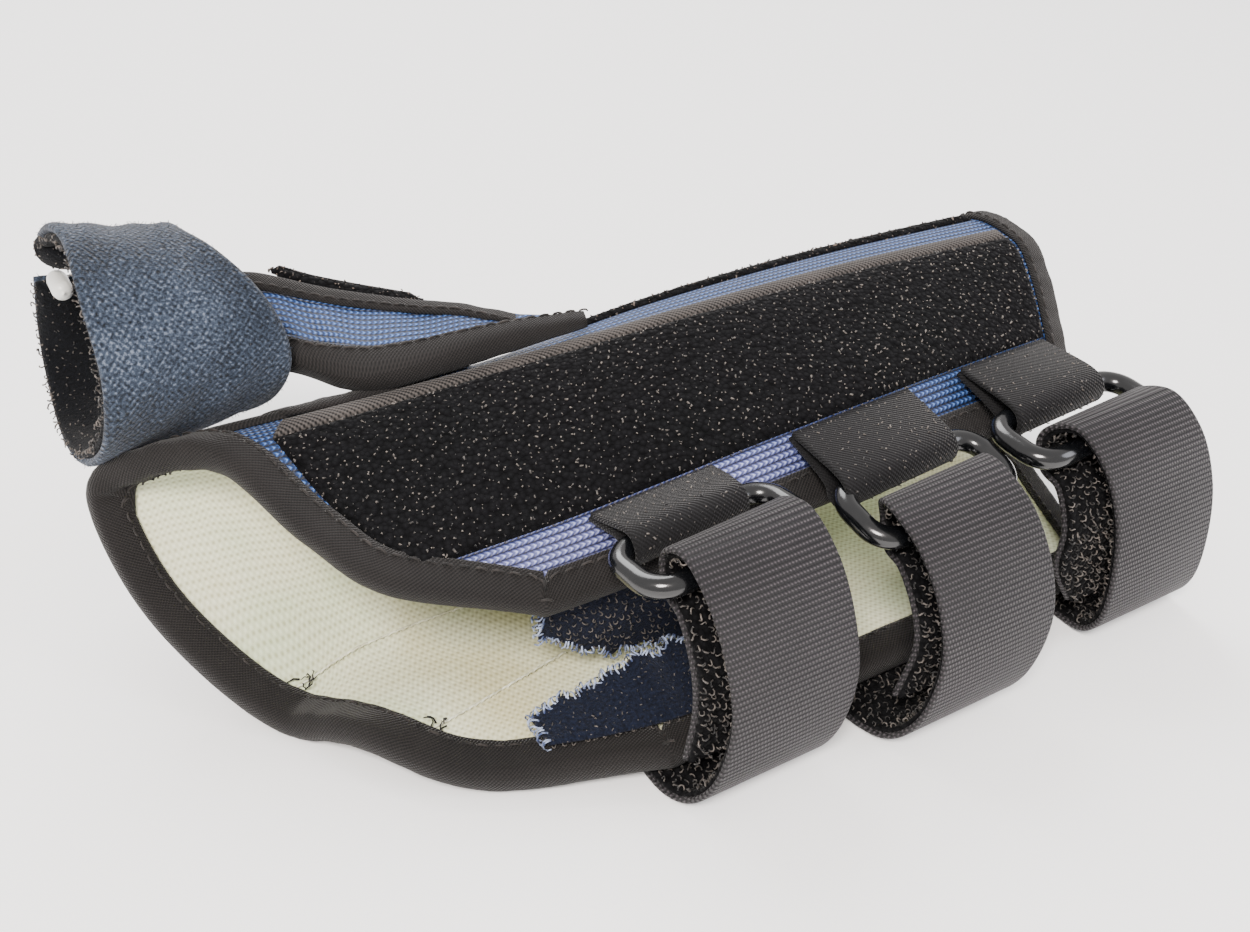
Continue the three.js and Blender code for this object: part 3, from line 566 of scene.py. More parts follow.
# Node trees for what repeats over a face or along a line.
def newTree(name, sockets):
    tree = bpy.data.node_groups.new(name, "GeometryNodeTree")
    tree.interface.new_socket("Geometry", in_out="INPUT", socket_type="NodeSocketGeometry")
    for label, kind, value in sockets:
        socket = tree.interface.new_socket(label, in_out="INPUT", socket_type=kind)
        if value is not None:
            socket.default_value = value
    tree.interface.new_socket("Geometry", in_out="OUTPUT", socket_type="NodeSocketGeometry")
    return tree, tree.nodes.new("NodeGroupInput"), tree.nodes.new("NodeGroupOutput")


def finishTree(tree, instances, material, output):
    real = addNode(tree, "GeometryNodeRealizeInstances", [instances])
    dressed = addNode(tree, "GeometryNodeSetMaterial", {"Geometry": real.outputs[0], "Material": material})
    tree.links.new(dressed.outputs[0], output.inputs[0])
    return tree


# Pile over a face: one small mesh stood on each point, turned and sized at random.
def pileTree():
    tree, start, end = newTree("pileOverFace", [
        ("Tuft", "NodeSocketObject", None), ("Spacing", "NodeSocketFloat", 0.0014),
        ("Lean", "NodeSocketFloat", 0.5), ("Least Size", "NodeSocketFloat", 0.75),
        ("Most Size", "NodeSocketFloat", 1.25), ("Seed", "NodeSocketInt", 7),
        ("Material", "NodeSocketMaterial", None)])
    given = start.outputs
    points = addNode(tree, "GeometryNodeDistributePointsOnFaces", {
        "Mesh": given["Geometry"], "Distance Min": given["Spacing"], "Density Max": 2.0e6,
        "Seed": given["Seed"]}, distribute_method="POISSON")
    less = addNode(tree, "ShaderNodeMath", [given["Lean"], -1.0], operation="MULTIPLY")
    low = addNode(tree, "ShaderNodeCombineXYZ", [less, less, 0.0])
    high = addNode(tree, "ShaderNodeCombineXYZ", [given["Lean"], given["Lean"], 2 * math.pi])
    turn = addNode(tree, "FunctionNodeRandomValue", {0: low, 1: high, "Seed": given["Seed"]},
                   data_type="FLOAT_VECTOR")
    turned = addNode(tree, "FunctionNodeRotateRotation", [points.outputs["Rotation"], turn.outputs[0]],
                     rotation_space="LOCAL")
    size = addNode(tree, "FunctionNodeRandomValue", {
        2: given["Least Size"], 3: given["Most Size"], "Seed": given["Seed"]}, data_type="FLOAT")
    tuft = addNode(tree, "GeometryNodeObjectInfo", {"Object": given["Tuft"], "As Instance": True})
    stood = addNode(tree, "GeometryNodeInstanceOnPoints", {
        "Points": points.outputs["Points"], "Instance": tuft.outputs["Geometry"],
        "Rotation": turned.outputs[0], "Scale": size.outputs[1]})
    return finishTree(tree, stood.outputs[0], given["Material"], end)


# Stitches along a line: one small mesh every step, laid along the line and turned at random by Roll.
def stitchTree():
    tree, start, end = newTree("stitchesAlongLine", [
        ("Stitch", "NodeSocketObject", None), ("Step", "NodeSocketFloat", 0.0034),
        ("Roll", "NodeSocketFloat", 0.0), ("Sway", "NodeSocketFloat", 0.05),
        ("Seed", "NodeSocketInt", 3), ("Material", "NodeSocketMaterial", None)])
    given = start.outputs
    line = addNode(tree, "GeometryNodeMeshToCurve", [given["Geometry"]])
    even = addNode(tree, "GeometryNodeResampleCurve", {"Curve": line.outputs[0], "Length": given["Step"]},
                   mode="LENGTH")
    way = addNode(tree, "GeometryNodeInputTangent")
    laid = addNode(tree, "FunctionNodeAlignRotationToVector", {"Vector": way.outputs[0]}, axis="X")
    rollBack = addNode(tree, "ShaderNodeMath", [given["Roll"], -1.0], operation="MULTIPLY")
    swayBack = addNode(tree, "ShaderNodeMath", [given["Sway"], -1.0], operation="MULTIPLY")
    low = addNode(tree, "ShaderNodeCombineXYZ", [rollBack, swayBack, swayBack])
    high = addNode(tree, "ShaderNodeCombineXYZ", [given["Roll"], given["Sway"], given["Sway"]])
    turn = addNode(tree, "FunctionNodeRandomValue", {0: low, 1: high, "Seed": given["Seed"]},
                   data_type="FLOAT_VECTOR")
    turned = addNode(tree, "FunctionNodeRotateRotation", [laid.outputs[0], turn.outputs[0]],
                     rotation_space="LOCAL")
    size = addNode(tree, "FunctionNodeRandomValue", {2: 0.85, 3: 1.15, "Seed": given["Seed"]},
                   data_type="FLOAT")
    stitch = addNode(tree, "GeometryNodeObjectInfo", {"Object": given["Stitch"], "As Instance": True})
    sewn = addNode(tree, "GeometryNodeInstanceOnPoints", {
        "Points": even.outputs[0], "Instance": stitch.outputs["Geometry"], "Rotation": turned.outputs[0],
        "Scale": size.outputs[1]})
    return finishTree(tree, sewn.outputs[0], given["Material"], end)


pileOverFace = pileTree()
stitchesAlongLine = stitchTree()


# Runs a tree on a ground object and keeps the result as a plain mesh.
def grow(name, ground, tree, values):
    modifier = ground.modifiers.new("grow", "NODES")
    modifier.node_group = tree
    for item in tree.interface.items_tree:
        if item.item_type == "SOCKET" and item.in_out == "INPUT" and item.name in values:
            modifier[item.identifier] = values[item.name]
    made = bpy.data.meshes.new_from_object(ground.evaluated_get(bpy.context.evaluated_depsgraph_get()))
    made.name = name
    made.polygons.foreach_set("use_smooth", [True] * len(made.polygons))
    ground.modifiers.remove(modifier)
    bpy.data.objects.remove(ground)
    print("  ", name, len(made.polygons), "faces")
    return addObject(name, made)


def lineGround(points, closed):
    mesh = bpy.data.meshes.new("line")
    n = len(points)
    edges = [(k, k + 1) for k in range(n - 1)] + ([(n - 1, 0)] if closed else [])
    mesh.from_pydata(toFrame(points).tolist(), edges, [])
    return addObject("line", mesh)


# Small meshes that the trees repeat: a tube along a few points, closed at both ends. Sizes in mm.
def tube(line, radius, sides, taper):
    line = np.asarray(line, float)
    way = tangents(line)
    side = unit(np.cross(way, [0.31, 0.17, 0.93]))
    up = np.cross(way, side)
    angles = np.arange(sides) / sides * 2 * math.pi
    radii = np.linspace(1, taper, len(line))[:, None, None] * radius
    ring = side[:, None] * np.cos(angles)[None, :, None] + up[:, None] * np.sin(angles)[None, :, None]
    points = (line[:, None] + ring * radii).reshape(-1, 3)
    n = len(line)
    faces = []
    for i in range(n - 1):
        for j in range(sides):
            after = (j + 1) % sides
            faces.append([i * sides + j, i * sides + after, (i + 1) * sides + after, (i + 1) * sides + j])
    faces += [list(range(sides))[::-1], [(n - 1) * sides + j for j in range(sides)]]
    return points, faces


def seedObject(name, line, radius, sides, taper=1.0):
    points, faces = tube(line, radius, sides, taper)
    mesh = bpy.data.meshes.new(name)
    mesh.from_pydata((points / 1000).tolist(), [], faces)
    return addObject(name, mesh)


loopAngles = np.radians(np.linspace(-35, 215, 7))
loopSeed = seedObject("loopSeed", np.stack([0.75 * np.cos(loopAngles), 0.2 * np.sin(2 * loopAngles),
                                            0.45 + 0.75 * np.sin(loopAngles)], 1), 0.2, 3)
fibreSeed = seedObject("fibreSeed", [(0, 0, -0.2), (0.08, 0, 0.35), (0.3, 0, 0.8)], 0.1, 3, 0.4)
stitchSeed = seedObject("stitchSeed", [(-1.2, 0, -0.35), (-0.8, 0, 0.1), (0, 0, 0.22), (0.8, 0, 0.1),
                                       (1.2, 0, -0.35)], 0.24, 6)
overlockAngles = np.radians(np.linspace(-150, 150, 8))
overlockLine = np.stack([0.3 * np.sin(2 * overlockAngles), 1.15 * np.sin(overlockAngles),
                         1.15 * np.cos(overlockAngles)], 1)
overlockSeed = seedObject("overlockSeed", overlockLine, 0.2, 4)
seeds = [loopSeed, fibreSeed, stitchSeed, overlockSeed]


# Ties a finished piece to the frame.
def settle(obj, slot, material=None, *nodes):
    if material is not None:
        obj.data.materials.clear()
        obj.data.materials.append(material)
    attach(obj, "root")
    if nodes:
        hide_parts(*nodes)
    return obj


# Slow unevenness from -1 to 1 along s in mm.
def waves(s, seed, longest=14.0):
    rng = np.random.default_rng(seed)
    total = np.zeros_like(np.asarray(s, float))
    for _ in range(5):
        period = longest * rng.uniform(0.45, 1.0)
        total += np.sin(np.asarray(s) * 2 * math.pi / period + rng.uniform(0, 6.3))
    return total / 5


# Cover and lining.
hole = {"u": place["ridge"] + 0.006, "x": 0.266 * brace["length"], "reachU": 0.034,
        "reachX": 0.084 * brace["length"], "tape": 4, "endFrom": 0.020, "endTo": 0.046, "endAt": 0.72}
# The last five keys place a painted highlight: a paler band on the top sheet near its free edge.
cover = {"cellsRound": 230, "cellsAlong": 130, "liningPucker": 0.25, "highlightFrom": 0.885, "highlightOver": 0.03,
         "highlightTo": 150, "highlightFade": 60, "highlightMost": 0.9}


def holedWall(name, outerOffset, innerOffset, pucker=0.0):
    a, b = shareGrid(cover["cellsRound"], cover["cellsAlong"])
    u = a.copy()
    x = mouthX(u) + (forearmX(u) - mouthX(u)) * b
    far = np.hypot((u - hole["u"]) / hole["reachU"], (x - hole["x"]) / hole["reachX"])
    middle = (far[:-1, :-1] + far[1:, 1:] + far[1:, :-1] + far[:-1, 1:]) / 4
    inside = far < 1
    safe = np.maximum(far, 0.05)
    u = np.where(inside, hole["u"] + (u - hole["u"]) / safe, u)
    x = np.where(inside, hole["x"] + (x - hole["x"]) / safe, x)
    outer = facePoint(u, x)
    normal = faceNormal(u, x)
    lift = pucker * np.sin(x / 9 + 12 * u) * np.sin(40 * u + x / 23)
    girth = lengths(facePoint(a[:, 0], 0.6 * brace["length"]))
    uv = np.stack([x, np.interp(a, a[:, 0], girth)], -1)
    # Painted highlight: a paler lavender band on the top sheet near its free edge, strongest towards the
    # mouth end and fading out towards the forearm end.
    paintedHighlightAt = np.clip((u - cover["highlightFrom"]) / cover["highlightOver"], 0, 1)
    paintedHighlightAt = paintedHighlightAt * np.clip((cover["highlightTo"] - x) / cover["highlightFade"] + 0.4, 0, 1) * cover["highlightMost"]
    return sheetBody(name, outer + normal * outerOffset, outer + normal * (innerOffset + lift)[..., None], uv,
                     keep=middle >= 1, marks={"paintedHighlight": paintedHighlightAt})


settle(holedWall("coverKnit", 0, -brace["coverThick"]), "blue_knit", blueKnit, "cover")
settle(holedWall("liningCloth", -brace["coverThick"] - brace["layerGap"], -wallThick, cover["liningPucker"]),
       "cream_lining", creamCloth, "lining")
print("cover and lining made")

# Bindings: tape folded over a cut edge, with a row of stitches near its inner edges.
binding = {"width": 6.2, "forearmWidth": 3.8, "nose": 2.0, "pucker": 0.07, "stitchIn": 0.78,
           "stitchStep": 3.3, "edgeSteps": 190, "endSteps": 110, "middleX": 110}


def foldedTape(cloth, width, nose):
    inner = cloth / 2 + brace["tapeGap"] * 0.4
    outer = cloth / 2 + tapeLift
    bend = np.radians(np.linspace(80, -80, 7))
    rim = [(-nose * math.cos(t), outer * math.sin(t)) for t in bend]
    half = [(width, inner), (width + 0.15, (inner + outer) / 2), (width - 0.3, outer * 0.96),
            (width * 0.6, outer), (width * 0.25, outer)]
    return np.array([*half, *rim, *((p, -q) for p, q in half[::-1]), (0.2, -inner), (0.2, inner)])


# How a place at an offset from the face moves for each unit of u and of x.
def surfaceWays(u, x, offset):
    du, dx = 0.003, 0.4
    lowU, highU = np.maximum(u - du, 0), np.minimum(u + du, 1)
    pu = (offsetPoint(highU, x, offset) - offsetPoint(lowU, x, offset)) / (highU - lowU)[:, None]
    px = (offsetPoint(u, x + dx, offset) - offsetPoint(u, x - dx, offset)) / (2 * dx)
    return pu, px


# Points of a tape at (p, q): p mm in from the edge along the cloth, q out of its middle.
def tapePoints(u, x, inward, p, q, cloth):
    middle = -cloth / 2
    pu, px = surfaceWays(u, x, middle)
    a, b, c = (pu * pu).sum(1), (pu * px).sum(1), (px * px).sum(1)
    r0, r1 = (inward * pu).sum(1), (inward * px).sum(1)
    det = a * c - b * b
    stepU, stepX = (c * r0 - b * r1) / det, (a * r1 - b * r0) / det
    into = np.maximum(p, 0)
    newU = np.clip(u + stepU * into, 0, 1)
    newX = x + stepX * into
    points = offsetPoint(newU, newX, middle + q)
    return points + inward * np.minimum(p, 0)[:, None]


# Sections of a tape. The stations are arrays of u, x, the way into the cloth and a share of width.
def tapeLoop(stations, outline, cloth, width, seed):
    u, x, inward, reach = stations
    middle = offsetPoint(u, x, -cloth / 2)
    run = lengths(middle)
    sections = np.empty((len(u), len(outline), 3))
    swell = 1 + binding["pucker"] * waves(run, seed) + 0.03 * waves(run, seed + 5, 4.0)
    for k, (p, q) in enumerate(outline):
        along = np.full(u.shape, p) * (reach if p > 0 else 1)
        high = np.full(u.shape, q) * (swell if abs(p) < width else 1)
        sections[:, k] = tapePoints(u, x, inward, along, high, cloth)
    return sections, np.append(run, run[-1] + 0.1)


# Ways across an edge of the wall at its places, and how far along it each lies.
def edgeStations(u, x):
    middle = offsetPoint(u, x, -wallThick / 2)
    return unit(np.cross(faceNormal(u, x), tangents(middle))), lengths(middle)


# Stations round all four edges of the wall, with a turned station and a narrower tape at each corner.
def ringOfEdges():
    k = np.linspace(0, 1, binding["edgeSteps"])
    ones = np.ones(binding["endSteps"])
    topX = np.linspace(float(mouthX(1.0)), float(forearmX(1.0)), ones.size)
    bottomX = np.linspace(float(forearmX(0.0)), float(mouthX(0.0)), ones.size)
    edges = [(k, mouthX(k)), (ones, topX), (k[::-1], forearmX(k[::-1])), (0 * ones, bottomX)]
    ways = []
    for u, x in edges:
        inward, run = edgeStations(u, x)
        target = facePoint(np.clip(u, 0.1, 0.9), (x + binding["middleX"]) / 2)
        flip = np.sign(((target - facePoint(u, x)) * inward).sum(1).mean())
        ways.append([u, x, inward * flip, run])
    rows = []
    widths = [1, 1, binding["forearmWidth"] / binding["width"], 1]
    for i, (u, x, inward, run) in enumerate(ways):
        before = ways[i - 1][2][-1]
        after = ways[(i + 1) % 4][2][0]
        reach = np.full(u.shape, 1.0)
        for end, toEnd in ((np.dot(before, inward[0]), run), (np.dot(inward[-1], after), run[-1] - run)):
            turn = math.acos(np.clip(end, -1, 1))
            reach = np.minimum(reach, toEnd / max(math.tan(turn / 2), 0.05) / binding["width"])
        rows.append((u, x, inward, np.clip(reach, 0.03, widths[i])))
        shares = np.linspace(0.15, 0.85, 5)[:, None]
        corner = np.ones(5)
        turned = unit(inward[-1] * (1 - shares) + after * shares)
        rows.append((u[-1] * corner, x[-1] * corner, turned, 0.03 * corner))
    return [np.concatenate([row[k] for row in rows]) for k in range(4)]


def stitchRow(name, points, step, slot, material, closed=False, seed=3, roll=0.0, stitch=None, sway=0.05):
    settle(grow(name, lineGround(points, closed), stitchesAlongLine, {
        "Stitch": stitch or stitchSeed, "Step": step / 1000, "Roll": roll, "Sway": sway, "Seed": seed,
        "Material": material}), slot)


rimStations = ringOfEdges()
rimOutline = foldedTape(wallThick, binding["width"], binding["nose"])
rimSections, rimRun = tapeLoop(rimStations, rimOutline, wallThick, binding["width"], 11)
settle(sweepBody("edgeBinding", rimSections, rimRun, girthOf(rimOutline), loop=True), "twill_tape", darkTwill,
       "mouth_binding", "top_edge_binding", "forearm_binding", "bottom_edge_binding")
u, x, inward, reach = rimStations
for name, side in (("edgeStitchesOut", 1), ("edgeStitchesIn", -1)):
    into = binding["stitchIn"] * binding["width"] * reach
    out = side * (wallThick / 2 + tapeLift + 0.05)
    row = tapePoints(u, x, inward, into, np.full(u.shape, out), wallThick)
    stitchRow(name, row, binding["stitchStep"], "twill_tape", darkThread, closed=True)

holeAngles = np.linspace(0, 2 * math.pi, 121)[:-1]
holeU = hole["u"] + hole["reachU"] * np.sin(holeAngles)
holeX = hole["x"] + hole["reachX"] * np.cos(holeAngles)
holeMiddle = offsetPoint(holeU, holeX, -wallThick / 2)
holeWay = unit(np.roll(holeMiddle, -1, 0) - np.roll(holeMiddle, 1, 0))
holeIn = unit(np.cross(faceNormal(holeU, holeX), holeWay))
holeIn = holeIn * np.sign(((holeMiddle - holeMiddle.mean(0)) * holeIn).sum(1).mean())
holeOutline = foldedTape(wallThick + 0.6, hole["tape"], 1.3)
holeStations = (holeU, holeX, holeIn, np.ones(holeU.shape))
holeSections, holeRun = tapeLoop(holeStations, holeOutline, wallThick, hole["tape"], 23)
settle(sweepBody("thumbHoleBinding", holeSections, holeRun, girthOf(holeOutline), loop=True), "twill_tape",
       darkTwill, "thumb_hole_binding")
print("bindings made")

# Pile panels on the outer face.
panel = {"ground": 1.3, "lift": 0.15, "tapeThick": 1.2, "tapeShare": 0.024, "setBack": 4.5, "flare": 0.009,
         "rearStart": 0.465, "round": 2.2}


# Places of a patch between u = low(b) and u = top(b), and between x = start(u) and x = end(u).
def patchGrid(low, top, start, end, na, nb):
    a, b = shareGrid(na, nb)
    u = low(b) + (top(b) - low(b)) * a
    return u, start(u) + (end(u) - start(u)) * b


# 0 at the border of a grid of points, 1 from reach mm in, rounded like a roll.
def rimFade(grid, reach):
    across = np.linalg.norm(np.diff(grid, axis=0), axis=-1)
    along = np.linalg.norm(np.diff(grid, axis=1), axis=-1)
    fromLow = np.vstack([np.zeros((1, grid.shape[1])), np.cumsum(across, 0)])
    fromStart = np.hstack([np.zeros((grid.shape[0], 1)), np.cumsum(along, 1)])
    near = np.minimum(fromLow, fromLow[-1:] - fromLow)
    near = np.minimum(near, np.minimum(fromStart, fromStart[:, -1:] - fromStart))
    share = np.clip(near / reach, 0, 1)
    return np.sqrt(1 - (1 - share) ** 2)


def facePad(name, patch, na, nb, thick, bump=0.0, seed=1):
    u, x = patchGrid(*patch, na, nb)
    ground = facePoint(u, x)
    normal = faceNormal(u, x)
    fade = 0.12 + 0.88 * rimFade(ground, panel["round"])
    rng = np.random.default_rng(seed)
    high = panel["lift"] + thick * fade + bump * fade * rng.uniform(-1, 1, u.shape)
    top = ground + normal * high[..., None]
    sideways = lengths(ground[:, nb // 2])
    uv = np.stack([np.broadcast_to(x, u.shape), np.repeat(sideways[:, None], nb + 1, 1)], -1)
    return sheetBody(name, top, ground + normal * panel["lift"], uv), top


def loopPile(name, grid, slot, material, step, seed=7, sizes=(0.75, 1.3), lean=0.55, tuft=None):
    values = {"Tuft": tuft or loopSeed, "Spacing": step / 1000, "Lean": lean,
              "Least Size": sizes[0], "Most Size": sizes[1], "Seed": seed, "Material": material}
    settle(grow(name, openSheet(name + "Ground", grid), pileOverFace, values), slot)


low, top, ridge, wall = (place[k] for k in ("panelLow", "panelTop", "ridge", "wall"))


def flat(u):
    return lambda b: np.full(b.shape, u)


def panelStart(u):
    return mouthX(u) + binding["width"] + 0.2 + panel["setBack"] * ((u - low) / (top - low)) ** 4


def panelEnd(u):
    return forearmX(u) - binding["forearmWidth"] - 1


frontPatch = (flat(low), flat(top), panelStart, panelEnd)
pad, padTop = facePad("frontPileGround", frontPatch, 60, 170, panel["ground"], bump=0.12)
settle(pad, "black_pile", blackGround, "front_plush")
loopPile("frontPileLoops", padTop, "black_pile", blackLoops, step=1.42)

tapeLow = top - 0.002
tapePatch = (flat(tapeLow),
             lambda b: tapeLow - panel["tapeShare"] - panel["flare"] * np.maximum(0, 1 - 2.5 * b),
             lambda u: panelStart(np.full(u.shape, top)) + (tapeLow - u) * 100, panelEnd)
pad = facePad("panelTape", tapePatch, 10, 170, panel["tapeThick"])[0]
settle(pad, "rib_tape", dashTape, "panel_tape")
holeEnd = (flat(hole["u"] + hole["endFrom"]), flat(hole["u"] + hole["endTo"]),
           lambda u: mouthX(u) + binding["width"] + 0.5,
           lambda u: np.full(u.shape, hole["x"] - hole["endAt"] * hole["reachX"]))
pad = facePad("thumbHoleBindingEnd", holeEnd, 12, 60, 1.5)[0]
settle(pad, "twill_tape", darkTwill)

rearPatch = (flat(ridge + 0.03), flat(wall - 0.02),
             lambda u: np.full(u.shape, panel["rearStart"] * brace["length"]), panelEnd)
pad, padTop = facePad("rearPileGround", rearPatch, 40, 120, panel["ground"], bump=0.1, seed=4)
settle(pad, "brown_pile", blackGround, "rear_plush")
loopPile("rearPileLoops", padTop, "brown_pile", brownLoops, step=1.5, seed=9)
print("pile panels made")

# Lining seams: a pale sewn line down the cloth inside, with a dark frayed tuft at its outer end.
seam = {"step": 1.7, "in": 7.5, "lift": 0.15, "frayShare": 0.006, "frayLong": 3.5, "frayLift": 0.3}
seamRows = [((0.315, 0.0), (0.30, 0.30)), ((0.185, 0.0), (0.20, 0.16))]
frayLine = [(0, 0, 0), (0.5, 0.3, 1.0), (0.1, 0.9, 1.9), (-0.6, 0.5, 2.5)]
fraySeed = seedObject("fraySeed", frayLine, 0.22, 4, 0.5)
for number, ((u0, x0), (u1, x1)) in enumerate(seamRows, 1):
    share = np.linspace(0, 1, 60)
    u = u0 + (u1 - u0) * share
    x = mouthX(u) + seam["in"] + (x1 - x0) * brace["length"] * share
    line = offsetPoint(u, x, -wallThick - cover["liningPucker"] - seam["lift"])
    stitchRow(f"liningSeam{number}", line, seam["step"], "cream_lining", creamThread, seed=number)
    frayU = np.linspace(-seam["frayShare"], seam["frayShare"], 3)
    a, b = np.meshgrid(frayU, np.linspace(0, seam["frayLong"], 3), indexing="ij")
    patch = offsetPoint(u0 + a, x[0] + b, -wallThick - seam["frayLift"])[:, ::-1]
    loopPile(f"liningFray{number}", patch, "twill_tape", blackFray, step=1.0, seed=80 + number, lean=1.2,
             tuft=fraySeed)
seeds.append(fraySeed)
print("lining seams made")

# Closures: ring, strap with grey webbing outside and black pile inside, and the ring's tab.
closure = {"strapWidth": 29, "webThick": 1.3, "ringBar": 2.4, "ringSpan": 37.4, "ringReach": 15,
           "ringCorner": 5.5, "tabThick": 1.3, "tabFace": 0.6, "strapThick": 2.4, "strapRoot": -0.32,
           "ringPoint": 9, "turnOver": 0.14}
closureRows = [
    {"ring": (0.434, -0.303, 0.774), "turn": 6, "fall": -4, "x": (0.447, 0.456, 0.42), "bulgeY": -0.61,
     "rise": 5, "tab": (27.5, -0.8)},
    {"ring": (0.649, -0.355, 0.77), "turn": 5, "fall": 14, "x": (0.642, 0.655, 0.615), "bulgeY": -0.67,
     "rise": 7, "tab": (31, -2.5)},
    {"ring": (0.835, -0.346, 0.79), "turn": 4, "fall": 4, "x": (0.857, 0.879, 0.885), "bulgeY": -0.63,
     "rise": 5, "tab": (27, -0.3)},
]


def ringBody(name, centre, along, across):
    corner = closure["ringCorner"]
    halfLong, halfWide = closure["ringSpan"] / 2, closure["ringReach"] / 2
    up = unit(np.cross(along, across))
    places, sides = [], []
    for sx, sy, start in ((1, 1, 0), (-1, 1, 90), (-1, -1, 180), (1, -1, 270)):
        for angle in np.radians(np.linspace(start, start + 90, 11)):
            p = sx * (halfLong - corner) + corner * math.cos(angle)
            q = sy * (halfWide - corner) + corner * math.sin(angle)
            places.append(centre + along * p + across * q)
            sides.append(along * math.cos(angle) + across * math.sin(angle))
    places, sides = np.array(places), np.array(sides)
    angles = circleAngles(20)
    outline = np.stack([closure["ringBar"] * np.cos(angles), closure["ringBar"] * 0.96 * np.sin(angles)], 1)
    sections = places[:, None] + sides[:, None] * outline[None, :, :1] + up * outline[None, :, 1:]
    run = lengths(np.vstack([places, places[:1]]))
    return sweepBody(name, sections, run, girthOf(outline), loop=True)


def makeClosure(row, number):
    turn, fall = math.radians(row["turn"]), math.radians(row["fall"])
    along = np.array([math.cos(turn), math.sin(turn), 0])
    across = np.array([math.sin(turn) * math.cos(fall), -math.cos(turn) * math.cos(fall), -math.sin(fall)])
    inner = row["ring"] * braceSize
    outer = inner + across * closure["ringReach"]
    ring = ringBody(f"ring{number}", (inner + outer) / 2, along, across)
    settle(ring, "black_plastic", ringPlastic, f"ring_{number}")

    rootY, far = closure["strapRoot"] * brace["depth"], row["bulgeY"] * brace["depth"]
    foot = closure["strapThick"] / 2
    ringX, near = outer[0], outer[1]
    high = outer[2] + row["rise"]
    topX, bulgeX, footX = (share * brace["length"] for share in row["x"])
    points = [
        (footX, rootY, foot), (footX, rootY + (far - rootY) * 0.65, foot),
        (footX + (bulgeX - footX) * 0.25, far + 4.5, foot + 1.6),
        (footX + (bulgeX - footX) * 0.6, far + 0.5, high * 0.17), (bulgeX, far - 0.3, high * 0.42),
        (bulgeX, far + 2.2, high * 0.66), ((bulgeX + topX) / 2, far + (near - far) * 0.5, high * 0.89),
        (topX, near - 0.5, high), ((topX + ringX) / 2, near + 4.6, high - 1.6),
        (ringX + 0.5, near + 6, outer[2] + 1), (ringX, near + 3.2, outer[2] - 4.6),
        (ringX, near - 2, outer[2] - 6.4), (ringX, far + (near - far) * 0.52, outer[2] * 0.68),
        (ringX, far + 6.8, high * 0.42), ((ringX + footX) / 2, far + 6, high * 0.22),
    ]
    t = np.linspace(0, 1, 200)
    line = splinePoints(points, t)
    ringShare = closure["ringPoint"] / (len(points) - 1)
    pull = np.exp(-(((t - ringShare) / closure["turnOver"]) ** 2))[:, None]
    side = unit(np.array([1.0, 0, 0]) * (1 - pull) + along * pull)
    half = closure["strapThick"] / 2
    webbing = roundedStrip(closure["strapWidth"], -half, -half + closure["webThick"])
    ground = roundedStrip(closure["strapWidth"] - 1.2, -half + closure["webThick"] - 0.1, half - 0.1)
    settle(ribbonBody(f"strapWebbing{number}", line, side, webbing), "grey_webbing", greyWebbing,
           f"strap_{number}")
    settle(ribbonBody(f"strapPileGround{number}", line, side, ground), "black_pile", blackGround)
    up = unit(np.cross(tangents(line), side))
    reach = (closure["strapWidth"] - 1.4) / 2
    places = np.linspace(-reach, reach, 21)[None, :, None]
    grid = line[:, None] + side[:, None] * places + up[:, None] * (half - 0.15)
    loopPile(f"strapPileLoops{number}", grid[4:], "black_pile", blackLoops, step=1.5, seed=20 + number,
             sizes=(0.6, 1.0), lean=0.8)

    wrap = closure["ringBar"] + brace["layerGap"] + closure["tabThick"] / 2
    seatU = place["panelLow"] + 0.011
    rise = brace["layerGap"] + closure["tabThick"] / 2 + 0.2
    tabWidth, tabShift = row["tab"]
    tabX = inner[0] + tabShift
    seat = offsetPoint(seatU, tabX, rise)
    seatUp = offsetPoint(seatU, tabX, rise + closure["tabThick"] + brace["layerGap"])
    seatWay = unit(facePoint(seatU, tabX + tabWidth / 2) - facePoint(seatU, tabX - tabWidth / 2))
    tabLine = [(tabX, seat[1], seat[2])]
    for k in range(7):
        angle = math.radians(-12 - k * 41)
        tabLine.append((tabX, inner[1] + wrap * math.cos(angle), inner[2] + wrap * math.sin(angle)))
    tabLine.append((tabX, seatUp[1], seatUp[2]))
    t = np.linspace(0, 1, 90)
    line = splinePoints(tabLine, t)
    pull = np.minimum(1, 3.4 * np.sin(math.pi * t))[:, None]
    side = unit(seatWay * (1 - pull) + along * pull)
    tab = roundedStrip(tabWidth, -closure["tabThick"] / 2, closure["tabFace"])
    settle(ribbonBody(f"ringTab{number}", line, side, tab), "black_pile", blackRibTape, f"ring_tab_{number}")
    up = unit(np.cross(tangents(line), side))
    reach = tabWidth / 2 - 0.6
    places = np.linspace(-reach, reach, 15)[None, :, None]
    grid = line[:, None] + side[:, None] * places - up[:, None] * closure["tabFace"]
    loopPile(f"ringTabLoops{number}", grid[45:], "black_pile", blackLoops, step=1.4, seed=40 + number,
             sizes=(0.6, 0.95), lean=0.8)


for number, row in enumerate(closureRows, 1):
    makeClosure(row, number)
print("closures made")

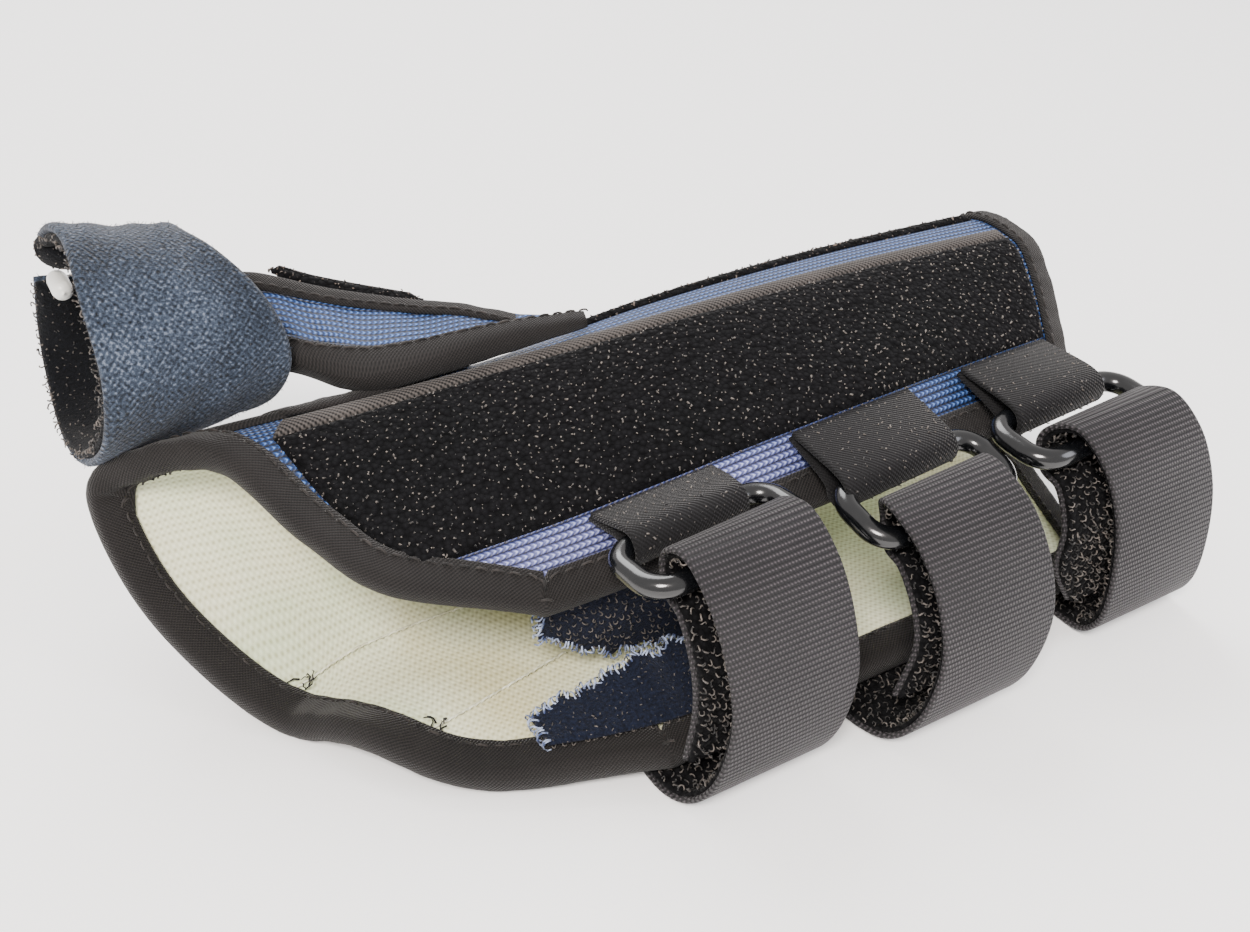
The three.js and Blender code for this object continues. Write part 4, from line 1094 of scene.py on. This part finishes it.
# Thumb tongue with its bindings and the pile along its far edge.
tongue = {"thick": 3.0, "bow": 0.045, "tape": 3.8, "endSlim": 0.6, "endNarrow": 0.8, "knitTo": 0.97,
          "narrowFrom": 0.72, "narrowOver": 0.25, "hangAt": 0.5, "hangOver": 0.24, "pileFrom": 0.3,
          "pileTo": 0.66}
tongueNear = np.array([
    (0.071, 0.535, 1.033), (0.168, 0.509, 0.99), (0.208, 0.481, 0.964), (0.239, 0.418, 0.951),
    (0.274, 0.352, 0.958), (0.336, 0.303, 0.985), (0.389, 0.270, 1.01), (0.469, 0.245, 1.025)]) * braceSize
tongueFar = np.array([
    (0.071, 0.70, 1.18), (0.159, 0.69, 1.155), (0.217, 0.65, 1.118), (0.257, 0.60, 1.07), (0.31, 0.525, 1.03),
    (0.363, 0.445, 1.01), (0.416, 0.37, 1.01), (0.478, 0.31, 1.012)]) * braceSize


def tonguePoint(a, b, offset):
    a, b, offset = np.broadcast_arrays(np.asarray(a, float), np.asarray(b, float), np.asarray(offset, float))
    shape = a.shape
    a, b, offset = a.ravel(), b.ravel(), offset.ravel()
    near, far = splinePoints(tongueNear, b), splinePoints(tongueFar, b)
    across = unit(far - near)
    after, before = np.minimum(b + 1e-3, 1), np.maximum(b - 1e-3, 0)
    way = unit(splinePoints(tongueNear, after) - splinePoints(tongueNear, before))
    up = unit(np.cross(way, across))
    bow = tongue["bow"] * np.linalg.norm(far - near, axis=1) * np.sin(math.pi * a)
    return (near + (far - near) * a[:, None] + up * (offset + bow)[:, None]).reshape(*shape, 3)


# The far edge draws in towards the near one where the tongue ends.
def farShare(b):
    share = np.clip((b - tongue["narrowFrom"]) / tongue["narrowOver"], 0, 1)
    return 1 - tongue["endNarrow"] * share ** 1.6


knitAt = np.linspace(0, tongue["knitTo"], 121)
a, b = np.meshgrid(np.linspace(0, 1, 41), knitAt, indexing="ij")
a = a * farShare(b)
crease = 0.25 * np.sin(b * 42 + 3 * a) * np.sin(math.pi * a)
run = lengths(tonguePoint(0.5, knitAt, 0))
span = np.linalg.norm(tonguePoint(1, b, 0) - tonguePoint(0, b, 0), axis=-1)
uv = np.stack([np.broadcast_to(run[None], a.shape), a * span], -1)
halfTongue = tongue["thick"] / 2
# The mark is zero here: no painted highlight on the tongue.
knit = sheetBody("tongueKnit", tonguePoint(a, b, halfTongue + crease),
                 tonguePoint(a, b, -halfTongue + crease), uv, marks={"paintedHighlight": np.zeros(a.size)})
settle(knit, "blue_knit", blueKnit, "thumb_tongue")


def tongueTape(name, a, stop, seed, node, hang=0.0):
    b = np.linspace(0, stop, 120)
    share = a * farShare(b)
    edge = tonguePoint(share, b, 0)
    inward = unit(tonguePoint(0.5 * farShare(b), b, 0) - edge)
    up = unit(tonguePoint(share, b, 1) - edge)
    outline = foldedTape(tongue["thick"], tongue["tape"], 1.7)
    run = lengths(edge)
    slim = 1 - tongue["endSlim"] * np.clip((b / stop - 0.8) / 0.2, 0, 1) ** 1.5
    swell = ((1 + binding["pucker"] * waves(run, seed)) * slim)[:, None, None]
    wide = (0.5 + 0.5 * slim)[:, None, None]
    droop = hang * np.exp(-(((b - tongue["hangAt"]) / tongue["hangOver"]) ** 2))
    droop = droop[:, None] * np.clip(-outline[:, 0], 0, 1)[None]
    sections = (edge[:, None] + inward[:, None] * (outline[None, :, :1] * wide - droop[..., None])
                + up[:, None] * outline[None, :, 1:] * swell)
    settle(sweepBody(name, sections, run, girthOf(outline)), "twill_tape", darkTwill, node)
    row = edge + inward * (tongue["tape"] - 1.1) + up * (halfTongue + tapeLift + 0.05) * slim[:, None]
    stitchRow(name + "Stitches", row, 3.0, "twill_tape", darkThread)


tongueTape("tongueNearBinding", 0, 1.0, 31, "tongue_near_binding", hang=3.6)
tongueTape("tongueFarBinding", 1, 0.91, 37, "tongue_far_binding")

b = np.linspace(tongue["pileFrom"], tongue["pileTo"], 60)
edge = tonguePoint(1, b, 0)
sideways = unit(edge - tonguePoint(0, b, 0))
up = unit(tonguePoint(1, b, 1) - edge)
angles = circleAngles(12)
outline = np.stack([2.2 * np.cos(angles), -0.4 + 1.5 * np.sin(angles)], 1)
fade = np.clip(np.minimum(b - tongue["pileFrom"], tongue["pileTo"] - b) / 0.03, 0.35, 1)[:, None, None]
centre = edge + sideways * (tapeLift + 2.4)
spread = sideways[:, None] * outline[None, :, :1] + up[:, None] * outline[None, :, 1:]
sections = centre[:, None] + spread * fade
settle(sweepBody("tonguePileGround", sections, lengths(centre), girthOf(outline)), "black_pile", blackGround,
       "tongue_pile")
loopPile("tonguePileLoops", sections[:, :7], "black_pile", brownLoops, step=1.1, seed=51,
         sizes=(0.6, 1.0))
print("tongue made")

# Thumb strap: brushed knit outside, black pile inside, and one end curled in.
thumb = {"radius": 24, "drawIn": 0.8, "sag": 1.8, "sagAt": 245, "sagOver": 45, "rollAt": 40, "rollIn": 3.2,
         "roll": 4.3, "rollSteps": 40, "from": 50, "to": 372, "cellsRound": 180, "cellsAlong": 60, "rim": 2.0,
         "tipRadius": 2.2, "tipLength": 5}
thumbMiddle = np.array([(0.031, 0.61, 1.115), (0.177, 0.61, 1.074)]) * braceSize
tipPlace = np.array([0.0354 * brace["length"], 74.12, 74.42])
thumbAngles = [25, 60, 90, 135, 180, 225, 270, 320, 372]
thumbLeft = [0.022, 0.031, 0.040, 0.036, 0.033, 0.018, 0, 0.004, 0.018]
thumbRight = [0.137, 0.142, 0.150, 0.185, 0.203, 0.190, 0.140, 0.133, 0.142]


def thumbPoint(degrees, b, inset):
    shape = np.broadcast(degrees, b, inset).shape
    degrees, b, inset = (np.broadcast_to(v, shape).ravel() for v in (degrees, b, inset))
    angle = np.radians(degrees)
    left, right = smooth(thumbAngles, thumbLeft, degrees), smooth(thumbAngles, thumbRight, degrees)
    x = (left + (right - left) * b) * brace["length"]
    start, end = thumbMiddle
    share = (x - start[0]) / (end[0] - start[0])
    sag = thumb["sag"] * np.exp(-(((degrees - thumb["sagAt"]) / thumb["sagOver"]) ** 2))
    radius = thumb["radius"] * (1 + (thumb["drawIn"] - 1) * share) + sag - inset
    z = start[2] + (end[2] - start[2]) * share
    return np.stack([x, start[1] + radius * np.cos(angle), z + radius * np.sin(angle)], 1).reshape(*shape, 3)


def thumbShell(name, insetOut, insetIn):
    na, nb = thumb["cellsRound"], thumb["cellsAlong"]
    degrees = np.linspace(thumb["from"], thumb["to"], na + 1)
    a, b = np.meshgrid(degrees, np.linspace(0, 1, nb + 1), indexing="ij")
    middle = thumbPoint(a, b, (insetOut + insetIn) / 2)
    fade = 0.15 + 0.85 * rimFade(middle, thumb["rim"])
    half = (insetIn - insetOut) / 2
    dent = 0.35 * np.sin(a / 17) * np.sin(b * 9) + 0.2 * np.sin(a / 7 + b * 21)
    outer = thumbPoint(a, b, (insetOut + insetIn) / 2 - half * fade + dent)
    inner = thumbPoint(a, b, (insetOut + insetIn) / 2 + half * fade + dent)
    sideways = np.radians(a) * thumb["radius"]
    steps = np.linalg.norm(np.diff(middle, axis=1), axis=-1)
    run = np.cumsum(np.hstack([np.zeros((na + 1, 1)), steps]), 1)
    return sheetBody(name, outer, inner, np.stack([run, sideways], -1)), outer, inner


shell, outer, _ = thumbShell("thumbStrapKnit", 0.1, 2.3)
settle(shell, "blue_pile", slateKnit, "thumb_strap")
loopPile("thumbStrapFibres", outer, "blue_pile", navyFibre, step=1.25, seed=61, sizes=(0.5, 1.0), lean=1.1,
         tuft=fibreSeed)
shell, outer, inner = thumbShell("thumbStrapPile", 1.9, 4.1)
settle(shell, "blue_pile", blackFluff)
loopPile("thumbStrapLoops", inner, "blue_pile", blackLoops, step=1.5, seed=63, sizes=(0.6, 1.0), lean=0.8)
rimMiddle = (outer[:, :1] + inner[:, :1]) / 2 - [[[0.6, 0, 0]]]
rimLoops = np.concatenate([outer[:, :1], rimMiddle, inner[:, :1]], 1)
loopPile("thumbStrapRimLoops", rimLoops, "blue_pile", blackLoops, step=1.0, seed=65, sizes=(0.7, 1.1))

rollShare = np.linspace(-1, 1, thumb["rollSteps"])
rollAlong = np.linspace(-0.02, 0.9, thumb["rollSteps"])
rollLine = thumbPoint(float(thumb["rollAt"]), rollAlong, thumb["rollIn"])
circle = circleAngles(20)
rollSize = thumb["roll"] * np.sqrt(1 - np.clip(np.abs(rollShare) * 1.18 - 0.2, 0, 0.98) ** 4)
rollRim = np.stack([np.zeros(circle.size), np.cos(circle), np.sin(circle)], 1)
sections = rollLine[:, None] + rollRim[None] * rollSize[:, None, None]
settle(sweepBody("thumbStrapCurl", sections, lengths(rollLine), np.linspace(0, 27, 21)), "blue_pile",
       blackFluff)
loopPile("thumbStrapCurlLoops", np.concatenate([sections, sections[:, :1]], 1), "blue_pile", blackLoops,
         step=1.3, seed=67, sizes=(0.6, 1.0))

# The stay's tip: a short rod with round ends, as rows of place along it and radius.
tipAngles = np.radians(np.linspace(-90, 90, 9))
tipRow = [(end * thumb["tipLength"] / 2 + thumb["tipRadius"] * math.sin(t), thumb["tipRadius"] * math.cos(t))
          for end in (-1, 1) for t in tipAngles if t * end >= 0]
sections = np.array([[(max(r, 0.05) * math.cos(c), s, max(r, 0.05) * math.sin(c)) for c in circle]
                     for s, r in tipRow]) + tipPlace
settle(sweepBody("thumbStayTip", sections, [row[0] for row in tipRow], np.linspace(0, 13, 21)),
       "pale_plastic", tipPlastic, "thumb_stay_tip")
print("thumb strap made")

# Loose cloth ends inside the closure, frayed and overlocked.
flap = {"thick": 1.4, "loopStep": 0.95}
upperFlap = ([(0.975, 0.31), (0.985, 0.375), (0.985, 0.442), (0.985, 0.51)],
             [(0.5, -12), (0, -20), (-1.5, -22), (-1, -18)])
lowerFlap = ([(0.09, 0.283), (0.055, 0.336), (0.03, 0.398), (0.03, 0.478)],
             [(8, 1), (11, 3.5), (14, 6), (13, 5)])


def makeFlap(name, shape, node, seed):
    held, hang = shape
    stations = np.linspace(0, 1, len(held))
    na, nb = 30, 90
    a, b = shareGrid(na, nb)
    heldU, heldX, dropY, dropZ = (smooth(stations, [row[k] for row in rows], b.ravel()).reshape(b.shape)
                                  for rows in (held, hang) for k in (0, 1))
    ground = wallThick + tapeLift + brace["layerGap"] + flap["thick"] / 2
    start = offsetPoint(heldU, heldX * brace["length"], -ground)
    drop = np.stack([np.zeros(b.shape), dropY, dropZ], -1)
    up = unit(np.cross(drop, [1.0, 0, 0]))
    ragged = 1 + 0.10 * waves(b.ravel() * 40, seed, 9.0).reshape(b.shape)
    ripple = 0.5 * a * np.sin(b * 17 + seed)
    middle = start + drop * (a * ragged)[..., None] + up * ripple[..., None]
    fade = (0.25 + 0.75 * rimFade(middle, 1.2))[..., None] * flap["thick"] / 2
    run = np.linalg.norm(middle - middle[:, :1], axis=-1)
    uv = np.stack([run, a * np.linalg.norm(drop, axis=-1)], -1)
    body = settle(sheetBody(name, middle + up * fade, middle - up * fade, uv), "navy_cloth", navyCloth, node)
    border = np.vstack([middle[:, 0], middle[-1]])
    stitchRow(name + "Overlock", border, flap["loopStep"], "navy_cloth", paleThread, seed=seed, roll=0.9,
              stitch=overlockSeed, sway=0.6)
    for side, word in ((1, "Out"), (-1, "In")):
        face = (middle + side * up * fade)[:, ::2]
        loopPile(f"{name}Fluff{word}", face, "navy_cloth", blackLoops, step=1.5, seed=70 + seed + side,
                 sizes=(0.5, 0.8), lean=1.0)


makeFlap("upperClothEnd", upperFlap, "upper_flap", 3)
makeFlap("lowerClothEnd", lowerFlap, "lower_flap", 8)
print("cloth ends made")

for seed in seeds:
    bpy.data.objects.remove(seed)

# Floor, camera and light.
view = {"pitch": 35, "turn": 30, "height": 204, "foot": (-15.23, -202.28), "focal": 1340, "imageWidth": 1250,
        "sensor": 36, "lit": (0, 0, 0.03), "skyPower": 1.25}
bpy.ops.mesh.primitive_plane_add(size=12)
floor = bpy.context.object
floor.name = "floor"
paper, _, paperSurface = newMaterial("paperFloor", 0.9)
paperSurface.inputs["Base Color"].default_value = srgb("ffffff")
floor.data.materials.append(paper)

cameraData = bpy.data.cameras.new("camera")
camera = addObject("camera", cameraData)
bpy.context.scene.camera = camera
cameraData.sensor_width = view["sensor"]
cameraData.lens = view["focal"] / view["imageWidth"] * view["sensor"]
cameraData.clip_start = 0.01
camera.location = toFrame([*view["foot"], view["height"]])
down, aside = math.radians(view["pitch"]), math.radians(view["turn"])
look = Vector((math.sin(aside) * math.cos(down), math.cos(aside) * math.cos(down), -math.sin(down)))
camera.rotation_mode = "QUATERNION"
camera.rotation_quaternion = look.to_track_quat("-Z", "Y")

# Soft round lamps: place and size in m, power in W. All of them point at the middle of the brace.
lights = [
    ("keyLight", (-0.55, -0.65, 1.05), 0.45, 30, "fff8f2"),
    ("fillLight", (0.9, -0.7, 0.7), 0.8, 9, "f3f5ff"),
    ("backLight", (0.1, 0.9, 1.0), 0.9, 16, "ffffff"),
]
for name, spot, size, power, colour in lights:
    data = bpy.data.lights.new(name, "AREA")
    data.shape = "DISK"
    data.size = size
    data.energy = power
    data.color = srgb(colour)[:3]
    lamp = addObject(name, data)
    lamp.location = spot
    lamp.rotation_mode = "QUATERNION"
    lamp.rotation_quaternion = (Vector(view["lit"]) - Vector(spot)).to_track_quat("-Z", "Y")

world = bpy.data.worlds.new("world")
bpy.context.scene.world = world
world.use_nodes = True
sky = world.node_tree.nodes["Background"]
sky.inputs["Color"].default_value = srgb("fbf7f5")
sky.inputs["Strength"].default_value = view["skyPower"]
